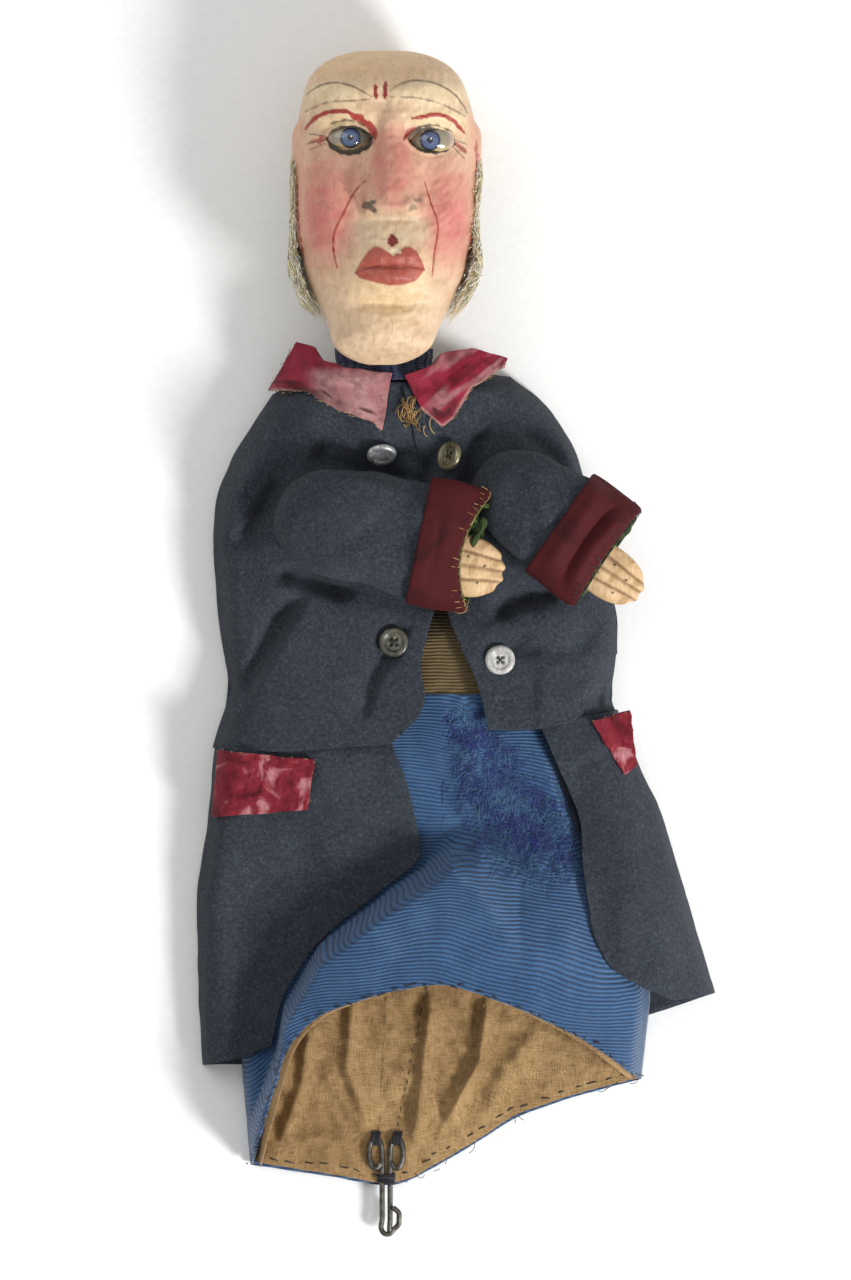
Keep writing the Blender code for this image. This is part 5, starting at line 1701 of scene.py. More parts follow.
@dataclass
class Arm:
    """A sleeve with its velvet cuff, printed lining, finger stall and carved hand."""

    side: str
    angle: float
    sleeve: float
    tip: float
    rear: float
    crease: bool
    palm: float
    scoop: float
    flare: float
    half: float = 27.0
    flat: float = 11.5
    velvet: float = 2.2
    hem: float = 6.0
    cuff: float = 30.0

    def __post_init__(self) -> None:
        """Reads where the arm's joint is."""
        joint = next(j for j in frame["joints"] if j["name"] == f"{self.side}_arm_lift")
        self.pivot = np.array(joint["pos_m"]) / MM
        self.level = self.pivot[2] + self.flat
        turn = math.radians(self.angle)
        self.along = np.array([math.cos(turn), math.sin(turn), 0])
        self.across = np.array([-math.sin(turn), math.cos(turn), 0])
        self.body = "arm_" + self.side
        # The stall and the hand hang this far below the arm's middle, and the wrist lies this far along it.
        self.drop = 0.88 * (self.half - 1.44 - 0.6) - 0.96 - 13 - 2
        self.wrist = self.tip - 36

    def world(self, d: Array, w: Array, z: Array) -> Array:
        """Points from distances along the arm, across it and above the table."""
        base = np.array([self.pivot[0], self.pivot[1], 0])
        return base + d[..., None] * self.along + w[..., None] * self.across + z[..., None] * np.array([0, 0, 1.0])

    def local(self, points: Array) -> tuple[Array, Array]:
        """How far points lie along the arm and across it from its joint."""
        away = points - np.array([self.pivot[0], self.pivot[1], 0])
        return away @ self.along, away @ self.across

    def ring(
        self, d: Array, half: Array, flat: Array, columns: int = 120, level: Array | float | None = None,
        ripples: float = 0.0
    ) -> Array:
        """Ovals carried along the arm: the square of each half axis's share adds up to one, a little squared off.

        Args:
            d: Distance of each ring along the arm.
            half: Its half width.
            flat: Its half height.
            columns: Points round each ring.
            level: The height of its middle.
            ripples: Height of the wrinkles.

        Returns:
            The grid, turning so that its faces look out.
        """
        turn = -circle(columns)
        level = self.level if level is None else level
        c, s = squared(np.cos(turn), 0.9), squared(np.sin(turn), 0.9)
        where = np.repeat(d[:, None], columns, axis=1)
        swell = 1.0 + np.zeros_like(where)
        if ripples:
            swell = swell + ripples * ripple(where, 22 * turn[None, :], 171, 26) / np.maximum(flat[:, None], 6)
        w = half[:, None] * c * (1 + 0.3 * (swell - 1))
        z = np.reshape(level, (-1, 1)) + flat[:, None] * s * swell
        return self.world(where, w, z)

    def scooped(self, points: Array) -> Array:
        """Draws the upper side of the opening back along the arm, most in the middle of its width, and lets the crown
        side hang wider.
        """
        end = self.sleeve + self.hem
        a, b = self.local(points)
        upper = smooth((points[..., 2] - self.level + 1) / 5)
        wide = (self.flare - 1) * np.maximum(b, 0)
        back = self.scoop * upper * np.clip(1 - (b / self.half) ** 2, 0, 1) * smooth((a - end + 27) / 27)
        return points - back[..., None] * self.along + wide[..., None] * self.across

    def make_sleeve(self) -> None:
        """The felt sleeve: it rises out of the coat over the armhole in a rounded shoulder and runs level to the cuff.
        """
        d = -self.rear + (self.sleeve + self.rear) * np.linspace(0, 1, 110)
        inside = quarter((d + self.rear) / (self.rear + 12))
        half = (0.5 + (25.5 + 1.5 * smooth(d / self.sleeve) - 0.5) * inside)
        bottom = 36.3 + (self.level - self.flat - 36.3) * smooth((d + 4) / 26)
        top = 38.0 + (self.level + self.flat - 38.0) * quarter((d + self.rear) / (self.rear + 20)) ** 1.3
        flat = np.maximum((top - bottom) / 2, 0.6)
        level = (top + bottom) / 2
        points = self.ring(d, half, flat, level=level, ripples=1.3)
        folds = (
            Fold(((8, -14), (22, -4), (34, 12)), -2.2, 4.0, 1.5),
            Fold(((-6, 10), (10, 4), (26, -12)), 1.8, 5.0),
            Fold(((self.sleeve - 34, 16), (self.sleeve - 16, 4), (self.sleeve - 8, -16)), 1.4, 5.0),
            Fold(((14, 18), (30, 15), (50, 18)), -1.4, 3.5),
        )
        a, b = self.local(points)
        upper = smooth((points[..., 2] - level[:, None]) / 6)
        points[..., 2] += upper * sum(fold.at(a, b) for fold in folds)
        points = self.scooped(points)
        name = "sleeve_" + self.side
        obj = surface(name + "_felt", points, Finishes.COAT_FELT.value, wrap=True)
        thicken(obj, 1.4)
        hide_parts(name)
        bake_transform(obj)
        LOG.info("made %s", name)

    def make_cuff(self) -> None:
        """The velvet cuff: a band turned back over the sleeve, thick at its rolled edges, with ochre blanket stitches
        round the opening.
        """
        end = self.sleeve + self.hem
        start = end - self.cuff
        depth = self.velvet
        around, wall = 150, 26  # points round the cuff and along each of its two walls
        outer = np.linspace(start + 1.0, end - 1.0, wall)
        d = np.concatenate(
            [outer, [end - 0.3, end + 0.1, end - 0.3], outer[::-1], [start + 0.3, start - 0.1, start + 0.3]]
        )
        lift = np.concatenate(
            [
                np.full(wall, depth), [depth * 0.85, depth * 0.5, depth * 0.15], np.full(wall, 0.0),
                [depth * 0.15, depth * 0.5, depth * 0.85]
            ]
        )
        belly = 0.7 * np.sin(math.pi * np.clip((d - start) / self.cuff, 0, 1))
        half = self.half + 0.5 + lift + belly
        flat = self.flat + 0.5 + lift + 0.6 * belly
        points = self.ring(d, half, flat, columns=around, ripples=0.8)
        a, b = self.local(points)
        upper = smooth((points[..., 2] - self.level) / 6)
        folds = [Fold(((start + 8, -22), (start + 12, 0), (start + 9, 20)), -0.5, 3.0)]
        if self.crease:
            folds = [
                Fold(((end - 12, -24), (end - 13.5, 0), (end - 11, 26)), -2.0, 1.7),
                Fold(((end - 6, -27), (end - 7.5, 0), (end - 5, 27)), 3.0, 3.8),
                Fold(((start + 8, -27), (start + 9, 0), (start + 8, 27)), 2.6, 4.8),
            ]
        points[..., 2] += upper * np.maximum(sum(fold.at(a, b) for fold in folds), -2.0)
        points = self.scooped(points)
        obj = surface(f"cuff_{self.side}_velvet", points, Finishes.BURGUNDY.value, wrap=True, ring=True)
        place(obj, self.body, "burgundy_velvet", "cuff_" + self.side)
        draw = np.random.default_rng(175)
        count = 46
        spots = (np.arange(count) * around / count).astype(int)
        outer_spot, edge, inner_spot = points[wall - 4][spots], points[wall + 1][spots], points[wall + 7][spots]
        out = (outer_spot - inner_spot) / np.linalg.norm(outer_spot - inner_spot, axis=1, keepdims=True)
        lean = draw.normal(0, 0.5, (count, 3))
        legs = np.stack(
            [
                outer_spot + out * 0.1 + lean, (outer_spot + edge) / 2 + out * 0.5 + lean / 2, edge + out * 0.4,
                edge - out * 0.6 + self.along * 0.4
            ],
            axis=1
        )
        after = np.roll(edge, -1, axis=0)
        bars = np.stack(
            [
                edge + self.along * 0.5, edge * 0.66 + after * 0.34 + self.along * 0.7,
                edge * 0.33 + after * 0.67 + self.along * 0.7, after + self.along * 0.5
            ],
            axis=1
        )
        place(
            strands(
                f"cuff_{self.side}_blanket_stitch", np.concatenate([legs, bars]), 0.19,
                (Finishes.BLACK_THREAD if self.crease else Finishes.OCHRE_THREAD).value, 4,
                draw.uniform(0, 1, 2 * count)
            ),
            self.body, "gold_thread"
        )

    def make_lining(self) -> None:
        """The printed lining inside the opening, rolled at its edge, and the stall that takes the wearer's finger."""
        end = self.sleeve + self.hem
        d = np.linspace(self.sleeve - 20, end + 1.2, 36)
        points = self.ring(d, np.full(36, self.half - 3.4), np.full(36, self.flat - 2.6), ripples=1.0)
        points = self.scooped(points)
        obj = thicken(surface(f"sleeve_lining_{self.side}_cotton", points, Finishes.GREEN.value, wrap=True), 0.9)
        place(obj, self.body, "green_print", "sleeve_lining_" + self.side)
        t = np.linspace(0, 1, 40)
        roll = self.world(
            end - 1.4 + 1.6 * np.sin(9 * t), 20 - 27 * t, self.level + 5.5 - 3.5 * t + 0.6 * np.sin(13 * t)
        )
        size = (1.5 + 0.5 * np.sin(17 * t)) * np.clip(np.minimum(t, 1 - t) * 12 + 0.1, 0, 1)
        place(
            strands(f"lining_roll_{self.side}", roll[None], size[None], Finishes.GREEN.value, 16), self.body,
            "green_print"
        )
        d = np.linspace(12, self.wrist - 1, 26)
        stall = self.ring(d, np.full(26, 9.5), np.full(26, 7.0), columns=48, ripples=0.5) - self.drop * self.across
        obj = thicken(surface(f"finger_stall_{self.side}_cloth", stall, Finishes.BROWN_REP.value, wrap=True), 0.9)
        place(obj, self.body, "brown_rep", "finger_stall_" + self.side)

    def make_hand(self) -> None:
        """The hand: one carved block with a thumb side, four fingers parted by knife grooves and blunt round tips."""
        around = 160
        share = np.linspace(0, 1, 120)
        turn = -circle(around)[None, :]
        c, s = squared(np.cos(turn), 0.85), squared(np.sin(turn), 0.75)
        reach = 50 * (0.5 - 0.5 * np.cos(math.pi * share)) - 14
        palm = smooth((reach + 4) / 16)
        ends = (
            np.clip(1 - ((reach - 14) / 22.0).clip(0, 1) ** 2.6, 0, 1) ** 0.5
            * np.clip(1 - ((-6 - reach) / 8.0).clip(0, 1) ** 4, 0, 1) ** 0.5
        )
        half = (7.2 + (self.palm - 7.2) * palm) * ends
        flat = (5.6 + 1.1 * palm - 1.6 * smooth((reach - 8) / 28)) * ends
        y = half[:, None] * c
        row = np.repeat(reach[:, None], around, axis=1)
        finger = smooth((row - 6 + 0.25 * y) / 6)
        groove = np.zeros_like(y)
        for at in (-6.8, 0.2, 7.0):
            groove += np.exp(
                -(((y - at * self.palm / 14 * (1 - 0.3 * smooth((row - 8) / 28)) - 0.03 * (row - 10)) / 0.7) ** 2)
            )
        crown = 0.35 * np.cos(2 * math.pi * (y - 3.4) / 6.5)
        z = flat[:, None] * s * (1 - finger * (0.17 * np.clip(groove, 0, 1) - 0.05 * crown))
        tips = 0.7 * finger * np.clip((row - 24) / 12, 0, 1) * np.cos(2 * math.pi * (y - 3.4) / 6.6)
        facet = 0.22 * ripple(row, y, 181, 9) * ends[:, None]
        points = self.world(self.wrist + row + tips, y - self.drop, self.level + z + facet)
        obj = surface(f"hand_{self.side}_carved", points[1:-1], Finishes.HAND_WOOD.value, wrap=True, caps=True)
        line = (np.clip(groove, 0, 1) * finger)[1:-1, :, None] * 0.75
        worn = smooth((ripple(row, y, 183, 8)[1:-1, :, None] - 0.7) / 0.6) * 0.6
        shade = laid(laid(rgb("#DDBD93"), "#B08C5E", worn), "#6E4E2E", line)
        for a, b in ((12, -3), (17, 5), (9, 6), (24, -7), (26, 2)):
            spot = smooth((0.9 - np.hypot(row - a, y - b)) / 0.5)[1:-1, :, None] * (s > 0)[..., None]
            shade = laid(shade, "#3A2A1E", spot)
        attribute(obj, "paint", shade.reshape(-1, 3))
        place(obj, self.body, "bare_wood", "hand_" + self.side)

    def make_gusset(self) -> None:
        """The felt ring sewn round the armhole, under the sleeve."""
        radius = np.concatenate([np.linspace(13, 16.2, 8), [16.5, 16.2], np.linspace(16, 13.2, 8), [12.8]])
        height = np.concatenate([np.full(8, 36.5), [35.6, 34.8], np.full(8, 34.7), [35.6]])
        turn = circle(72)
        points = np.stack(
            [
                self.pivot[0] + radius[:, None] * np.cos(turn), self.pivot[1] + radius[:, None] * np.sin(turn),
                np.repeat(height[:, None], 72, axis=1)
            ],
            axis=-1
        )
        place(
            surface(f"armhole_ring_{self.side}", points, Finishes.COAT_FELT.value, wrap=True, ring=True),
            "shoulder_" + self.side, "coat_felt", "armhole_gusset_" + self.side
        )

    def build(self) -> None:
        """Makes the whole arm."""
        self.make_gusset()
        self.make_sleeve()
        self.make_cuff()
        self.make_lining()
        self.make_hand()


# ---------------------------------------------------------------- head

# Each row: distance up the body, right edge, left edge, front and back of the carved block.
BLOCK = np.array([
    (163, -29, 11, 70.0, 61.0), (168, -32, 14.5, 74.5, 58.6), (175, -34, 17.5, 77.0, 57.8),
    (181, -35.5, 19.5, 78.0, 26.0), (188, -38.5, 23, 78.5, 18.0),
    (195, -42, 26.5, 79.5, 14.5), (209, -47.5, 33, 80.4, 10.3), (230, -51.5, 36, 79.0, 6.4), (252, -52, 38, 77.5, 5.6),
    (276, -51.5, 38.4, 74.6, 6.2),
    (288, -50.2, 36.5, 77.5, 8.4), (300, -47.6, 32.8, 78.0, 12.5), (310, -44.0, 28.6, 74.5, 18.5),
    (319.6, -41, 25, 66.0, 27.0),
])


@dataclass(frozen=True)
class Bulge:
    """A rounded lump or hollow in the carving: a bell over an oval, sharper where its power is higher."""

    x: float
    y: float
    wide: float
    tall: float
    height: float
    power: float = 2.0

    def at(self, x: Array, y: Array) -> Array:
        """Its height at each place, in mm."""
        away = ((x - self.x) / self.wide) ** 2 + ((y - self.y) / self.tall) ** 2
        return self.height * np.exp(-(away ** (self.power / 2)))


@dataclass(frozen=True)
class Stroke:
    """A brush stroke of the face painter: a line of even width with soft ends."""

    path: tuple[tuple[float, float], ...]
    width: float
    colour: str
    strength: float = 1.0
    soft: float = 0.45
    rough: float = 0.5

    def cover(self, x: Array, y: Array) -> Array:
        """How much the paint covers at each place, from 0 to 1."""
        line = rounded(list(self.path), 14, 0.12)
        away, share, _ = to_path(x, y, [tuple(point) for point in line])
        width = (
            self.width / 2 * (1 + self.rough * 0.5 * ripple(x, y, 191, 3.2, 5))
            * (0.55 + 0.45 * smooth(np.minimum(share, 1 - share) / 0.2))
        )
        return self.strength * smooth((width - away) / self.soft + 0.5)


@dataclass
class Head:
    """The carved and painted head, its glass eyes, the neck inside the band, and the hair round the back."""

    rows: int = 275
    columns: int = 352

    eyes: tuple = ((-25.2, 274.6, 11.0, 5.2, 4.9), (15.8, 273.4, 11.4, 5.4, 4.7))
    bulges: tuple = (
        Bulge(-31.0, 297.0, 15.0, 5.6, 1.9, 4), Bulge(15.5, 297.0, 19.0, 6.2, 1.9, 4),
        Bulge(-9.5, 292.0, 6.0, 10.0, -1.2), Bulge(-30, 286.5, 14.0, 3.6, 1.5), Bulge(20, 285.5, 14.0, 3.4, 1.5),
        Bulge(-25, 275.5, 14.0, 8.0, -2.6, 3), Bulge(16, 274, 14.0, 8.0, -2.6, 3),
        Bulge(-38, 240.0, 13.0, 19.0, 3.0), Bulge(25, 239.0, 12.0, 18.0, 3.0),
        Bulge(-21, 253, 6.5, 10.0, -2.4), Bulge(11.5, 251, 6.0, 10.0, -2.4),
        Bulge(-4.5, 215.0, 20.5, 19.0, 6.8, 3.4), Bulge(-5.0, 192.5, 18.0, 3.4, -4.4),
        Bulge(-8, 178, 17.0, 11.0, 4.4, 2.4),
        Bulge(-36, 206, 9.0, 14.0, -1.4), Bulge(23, 206, 8.0, 14.0, -1.4), Bulge(-4, 226.5, 2.2, 4.0, -0.9),
        Bulge(-12, 215.5, 8.0, 3.6, 1.6), Bulge(4, 215.5, 7.5, 3.6, 1.6), Bulge(-5, 205.0, 12.5, 3.4, 2.2),
        Bulge(-5, 210.6, 15.0, 1.0, -1.6, 2.4), Bulge(-14.2, 241.0, 5.0, 4.6, 5.0, 2.6),
        Bulge(7.0, 241.0, 4.8, 4.6, 5.0, 2.6),
        Bulge(-13.2, 238.4, 2.2, 1.7, -3.2), Bulge(6.2, 238.4, 2.2, 1.7, -3.2),
    )
    lip_top: tuple = (
        (-22.5, 207.5), (-20, 212), (-16, 218), (-12.5, 220.6), (-9, 219.8), (-6, 217.8), (-3.2, 215.6), (-0.5, 218),
        (2.5, 220.2), (5.5, 220.3), (8.5, 218), (11, 213.5), (12.5, 209)
    )
    lip_low: tuple = ((-22.5, 207.5), (-20, 204.8), (-12, 202.6), (-5, 201.2), (2, 201.6), (8, 203.6), (12.5, 209))
    strokes: tuple = (
        Stroke(((-46.5, 297), (-39, 302), (-29, 302.6), (-21.5, 299.8), (-14, 295)), 1.0, "#6F604F", 0.85),
        Stroke(((-47, 288.5), (-36.5, 293), (-25, 293), (-15, 294)), 0.8, "#7A6A55", 0.75, rough=1.3),
        Stroke(((-5, 298), (1, 303), (12.5, 303.8), (22.5, 300.6), (30, 295), (33.5, 287.5)), 1.0, "#6F604F", 0.85),
        Stroke(((-5, 295), (5, 295), (16, 293.6), (25, 290), (32.5, 286)), 0.8, "#7A6A55", 0.75, rough=1.3),
        Stroke(((-12.2, 301), (-11.8, 294.4)), 1.9, "#8C2F2A"), Stroke(((-7, 302.4), (-7.4, 294.4)), 2.1, "#8C2F2A"),
        Stroke(
            ((-47, 279.5), (-44, 284), (-39, 287.4), (-31.5, 289), (-25, 287.4), (-19, 283.4), (-13.5, 281)), 2.2,
            "#A43A33"
        ),
        Stroke(((-24, 286.2), (-18, 283), (-13.5, 279.5), (-12.6, 274.5)), 4.2, "#A8403A", 0.95),
        Stroke(((6, 284.5), (10, 285), (16, 286.6), (22.5, 286.2), (27.5, 283), (32, 277.6)), 2.0, "#A43A33"),
        Stroke(((2.4, 274.8), (4, 277.8), (7.4, 280)), 2.2, "#B04A40"),
        Stroke(((-36, 275.5), (-42.5, 274), (-46, 272)), 1.8, "#C06058", 0.7),
        Stroke(((-39.5, 275), (-40, 272.6)), 4.0, "#B4524A", 0.75),
        Stroke(((28, 272.4), (31, 270), (32.5, 268)), 2.6, "#B4524A", 0.8),
        Stroke(((-36, 275.8), (-45.5, 277.2)), 0.6, "#5B4536", 0.8),
        Stroke(((-36, 274), (-46, 272.6)), 0.6, "#5B4536", 0.8),
        Stroke(((-35.5, 272.5), (-45, 269.4)), 0.6, "#5B4536", 0.8),
        Stroke(((27, 274), (33.5, 272)), 0.6, "#5B4536", 0.8), Stroke(((27, 272.6), (34, 267.6)), 0.6, "#5B4536", 0.8),
        Stroke(((26, 271), (32.5, 264.6)), 0.6, "#5B4536", 0.8),
        Stroke(((-35.6, 281.2), (-31, 283.2), (-25, 283.6), (-17.5, 281.2)), 0.9, "#5E5245", 0.85, rough=1.5),
        Stroke(((5, 276.4), (10, 281), (17.5, 281.6), (26, 278.2)), 0.9, "#5E5245", 0.85, rough=1.5),
        Stroke(
            ((-36.2, 274.4), (-33.6, 269.8), (-28.5, 267.4), (-21.5, 267.6), (-15.8, 270.6), (-13.6, 275)), 3.0,
            "#3F3A2A"
        ),
        Stroke(((-35.4, 276.6), (-31, 279.9), (-25, 280.5), (-19, 279.5), (-14.4, 276)), 1.8, "#463D30"),
        Stroke(((4.2, 274.2), (8.5, 269.8), (15, 267.4), (22.5, 268.2), (27.2, 272)), 1.9, "#433C2F"),
        Stroke(((4.6, 275), (9.6, 279), (16.5, 279.6), (23, 278), (27, 274)), 1.6, "#463D30"),
        Stroke(
            (
                (-17, 253.5), (-22, 249.6), (-26, 242.8), (-27, 237.6), (-32, 231.4), (-33.7, 225), (-33, 216),
                (-31, 210)
            ),
            1.0, "#9C3632"
        ),
        Stroke(((12.4, 253), (14.4, 245), (17, 237.5), (20.5, 231), (18, 225), (17, 216), (16, 206)), 0.9, "#A3413A"),
        Stroke(((-18, 240.6), (-14.6, 241.2), (-12.4, 238.6)), 3.4, "#4C4740", 0.85, rough=1.4),
        Stroke(((4.6, 238.6), (7.2, 240.8), (9.6, 243.6)), 2.6, "#77705F", 0.7, rough=1.4),
        Stroke(((-3.7, 225.4), (-3.5, 221.4)), 5.0, "#7C2A26"),
        Stroke(((-4.6, 218.2), (-2.6, 218.6), (0.4, 217.6)), 1.8, "#E9DCC4", 0.9),
        Stroke(((-51.0, 256), (-51.2, 240), (-49.6, 224), (-47.6, 214)), 0.9, "#A8443E", 0.8, rough=1.4),
        Stroke(((38.2, 274), (38.6, 262), (38.2, 252)), 1.6, "#A8443E", 0.8, rough=1.4),
        Stroke(((36.4, 232), (35.2, 222), (34, 214)), 1.4, "#B4524A", 0.8, rough=1.4),
        Stroke(((-20, 240), (-23, 246)), 0.7, "#B86A5E", 0.5),
        Stroke(((-22.5, 207.4), (-12, 211.0), (-5, 210.6), (3, 211.2), (12.4, 209)), 0.9, "#7E2C28", 0.75),
    )

    def outline(self, y: Array) -> tuple[Array, Array, Array, Array]:
        """The block's right, left, front and back at y: the table averaged over a few mm, which rounds its corners."""
        fine = np.linspace(150, 333, 740)
        weight = np.exp(-0.5 * (np.arange(-28, 29) / 11.0) ** 2)
        weight /= weight.sum()
        found = []
        for column in BLOCK.T[1:]:
            line = np.interp(fine, BLOCK[:, 0], column)
            line = np.convolve(np.pad(line, 28, mode="edge"), weight, mode="valid")
            found.append(np.interp(y, fine, line))
        return tuple(found)

    def eye_mask(self, x: Array, y: Array, grow: float = 0.0) -> Array:
        """1 in the almond openings and 0 outside: each lid is a parabola over the eye's width."""
        total = np.zeros_like(x)
        for cx, cy, wide, up, down in self.eyes:
            across = np.clip(1 - ((x - cx) / (wide + grow)) ** 2, 0, 1)
            lid = np.where(y > cy, (up + grow) * across**0.8, (down + grow) * across**0.8)
            total = np.maximum(total, smooth((lid - np.abs(y - cy)) / 1.1 + 0.2) * (across > 0))
        return total

    def nose(self, x: Array, y: Array) -> Array:
        """A ridge from the brow that widens and climbs to the tip and drops under it."""
        climb = smooth((286 - y) / 44)
        under = smooth((y - 233.5) / 7.0)
        centre = -4.6 + 1.6 * climb
        wide = 5.0 + 6.6 * climb
        flank = np.exp(-(np.abs((x - centre) / wide) ** 3.2))
        return (3.4 + 10.0 * climb) * flank * under * smooth((292 - y) / 10)

    def lips(self, x: Array, y: Array) -> Array:
        """1 inside the painted lips and 0 outside."""
        top = np.interp(x, *zip(*self.lip_top))
        low = np.interp(x, *zip(*self.lip_low))
        inside = (x > -22.5) & (x < 12.5)
        return smooth((top - y) / 0.7 + 0.5) * smooth((y - low) / 0.7 + 0.5) * inside

    def shape(self) -> tuple[Array, Array]:
        """The carved surface, and how much each point faces the front.

        Each cross-section is an oval, a little squared off, whose right and left halves have their own widths. Rounded
        ends close the crown and the chin, and the features stand out along the line of sight.
        """
        t = np.arange(self.columns) / self.columns
        angle = -math.pi / 2 - (2 * math.pi * t + 0.5 * np.sin(2 * math.pi * t))
        v = np.linspace(0, 1, self.rows)
        v = 0.72 * v + 0.28 * (0.5 - 0.5 * np.cos(math.pi * v))
        top, foot = 319.4, 161.6
        y = top + (foot - top) * v
        right, left, front, back = self.outline(y)
        cap = domed((top - y) / 19, 2.6) * domed((y - foot) / 12, 2.2)
        deep = domed((top - y) / 26, 2.2) * domed((y - foot) / 9, 2.2)
        middle = (right + left) / 2
        c, s = np.cos(angle)[None, :], np.sin(angle)[None, :]
        half = np.where(c > 0, (left - middle)[:, None], (middle - right)[:, None]) * cap[:, None]
        x = middle[:, None] + half * squared(c, 0.86)
        level = ((front + back) / 2)[:, None]
        z = level + ((front - back) / 2 * deep)[:, None] * squared(s, 0.8)
        y = np.repeat(y[:, None], self.columns, axis=1)
        facing = smooth(s * 2.2) * cap[:, None]
        ear = (
            np.exp(-((s / 0.22) ** 2)) * smooth((y - 216) / 8) * smooth((286 - y) / 8)
            * (1 - 0.25 * np.exp(-(((y - 250) / 12) ** 2)))
        )
        x = x + np.sign(c) * 2.4 * ear * cap[:, None]
        raised = self.nose(x, y) + sum(bulge.at(x, y) for bulge in self.bulges)
        rim = self.eye_mask(x, y, 2.6) * (1 - self.eye_mask(x, y, 0.3))
        raised = raised + 1.5 * rim - 9.5 * self.eye_mask(x, y)
        lip = self.lips(x, y)
        carve = 0.22 * ripple(x, y, 201, 12) + 0.16 * ripple(x, y + z, 202, 5)
        z = z + facing * (raised + 0.5 * lip + carve) + (1 - facing) * 0.2 * ripple(x + z, y, 203, 14)
        return np.stack([x, y, z], axis=-1), facing

    def colours(self, x: Array, y: Array, facing: Array) -> Array:
        """The painter's colours at each point, and painted shade inside the eye openings, in linear light, laid one
        over another.
        """
        colour = np.ones(x.shape + (3,)) * rgb("#DCC0A0")

        def lay(code: str, cover: Array) -> None:
            """Paints one colour over what is there, where the cover is above 0."""
            nonlocal colour
            colour = laid(colour, code, np.clip(cover, 0, 1)[..., None])

        front = smooth(facing * 3)
        lay("#DDBE95", 0.8 * smooth((y - 303) / 8))
        lay(
            "#EAD9B4",
            0.7 * (Bulge(-31, 297.5, 15.5, 5.4, 1, 5).at(x, y) + Bulge(15.5, 297, 19.5, 6.4, 1, 5).at(x, y)) * front
        )
        lay("#EDD9AE", 0.7 * (Bulge(-30, 285, 15, 6, 1, 4).at(x, y) + Bulge(18, 284, 15, 6, 1, 4).at(x, y)) * front)
        patchy = 0.86 + 0.1 * ripple(x, y, 211, 9)
        for code, rouge in (
            ("#D08278", Bulge(-37, 240, 17, 30, 1, 3.6)), ("#D08278", Bulge(24.5, 237, 14.5, 29, 1, 3.6)),
            ("#CE8378", Bulge(-3.8, 259, 11.5, 24, 1, 5))
        ):
            lay(code, patchy * rouge.at(x, y) * front)
        lay(
            "#DC9A8B",
            0.5 * Bulge(-20, 256, 8, 13, 1).at(x, y) * front + 0.5 * Bulge(12, 256, 8, 13, 1).at(x, y) * front
        )
        lay(
            "#CE6E70",
            0.45 * Bulge(-38, 232, 9, 13, 1).at(x, y) * front + 0.45 * Bulge(27, 232, 8, 13, 1).at(x, y) * front
        )
        lay("#D6C1A4", 0.95 * Bulge(-3.5, 229, 18.5, 9.5, 1, 5).at(x, y) * front)
        lay("#E8CDA4", 0.8 * Bulge(-5, 205, 19.5, 26, 1, 6).at(x, y) * front * smooth((220 - y) / 6))
        for wing in (Bulge(-17.8, 243, 1.6, 5.5, 1), Bulge(10.6, 243, 1.6, 5.5, 1)):
            lay("#9E5F4E", 0.55 * wing.at(x, y) * front)
        for out in (-46.5 - x, x - 33):
            lay("#D9A68F", 0.75 * smooth(out / 2.5) * smooth((y - 214) / 6) * smooth((290 - y) / 6))
        lay("#AF5A4D", self.lips(x, y) * front)
        for stroke in self.strokes:
            lay(stroke.colour, stroke.cover(x, y) * front)
        # Painted shade: dark brown inside the eye openings, round the glass.
        lay("#5A3B2C", 0.9 * self.eye_mask(x, y, -0.2) * front)
        return colour

    def make_eye(self, name: str, cx: float, cy: float, gaze: float) -> None:
        """One glass eye: a ball flattened towards the front, with a raised cornea, a painted iris and a painted
        highlight.
        """
        rows, columns = 110, 160
        polar = np.linspace(0.004, math.pi - 0.004, rows)[:, None]
        turn = -circle(columns)[None, :]
        low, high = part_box(name)
        level = (low.z + high.z) / 2 / MM - 0.6
        dx, dy = np.sin(polar) * np.cos(turn), np.sin(polar) * np.sin(turn)
        x, y = 11.6 * dx, 8.4 * dy
        z = 8.0 * np.cos(polar)
        away = np.hypot(x - gaze, y - 0.3)
        z = z + 0.5 * np.exp(-((away / 4.6) ** 4)) * (np.cos(polar) > 0)
        points = np.stack([cx + x, cy + y, level + z], axis=-1)
        obj = surface(name + "_glass", points[:, ::-1], Finishes.EYE.value, wrap=True, caps=True)
        colour = np.ones(x.shape + (3,)) * rgb("#988E7A")
        ray = 0.5 + 0.5 * np.sin(14 * np.arctan2(y - 0.3, x - gaze) + 3 * away)
        for code, cover in (
            ("#C9B070", 0.7 * smooth((-y - 1.5) / 2.5)),
            ("#C7A08C", 0.6 * smooth((np.abs(x) - 8) / 2)),
            ("#2B3348", smooth((5.5 - away) / 0.6)),
            ("#5A698E", smooth((4.6 - away) / 0.8) * (0.62 + 0.38 * ray)),
            ("#7686A8", 0.5 * smooth((3.0 - away) / 1.0) * ray),
            ("#10121A", smooth((1.75 - away) / 0.35)),
            # Painted highlight: a small white spot on the glass beside the pupil.
            ("#F6F6F2", smooth((0.55 - np.hypot(x - gaze - 0.5, y - 1.1)) / 0.25)),
        ):
            cover = np.clip(np.where(np.cos(polar) > 0, cover, 0), 0, 1)[..., None]
            colour = laid(colour, code, cover)
        attribute(obj, "paint", colour[:, ::-1].reshape(-1, 3))
        place(obj, "head", "eye_glass", name)

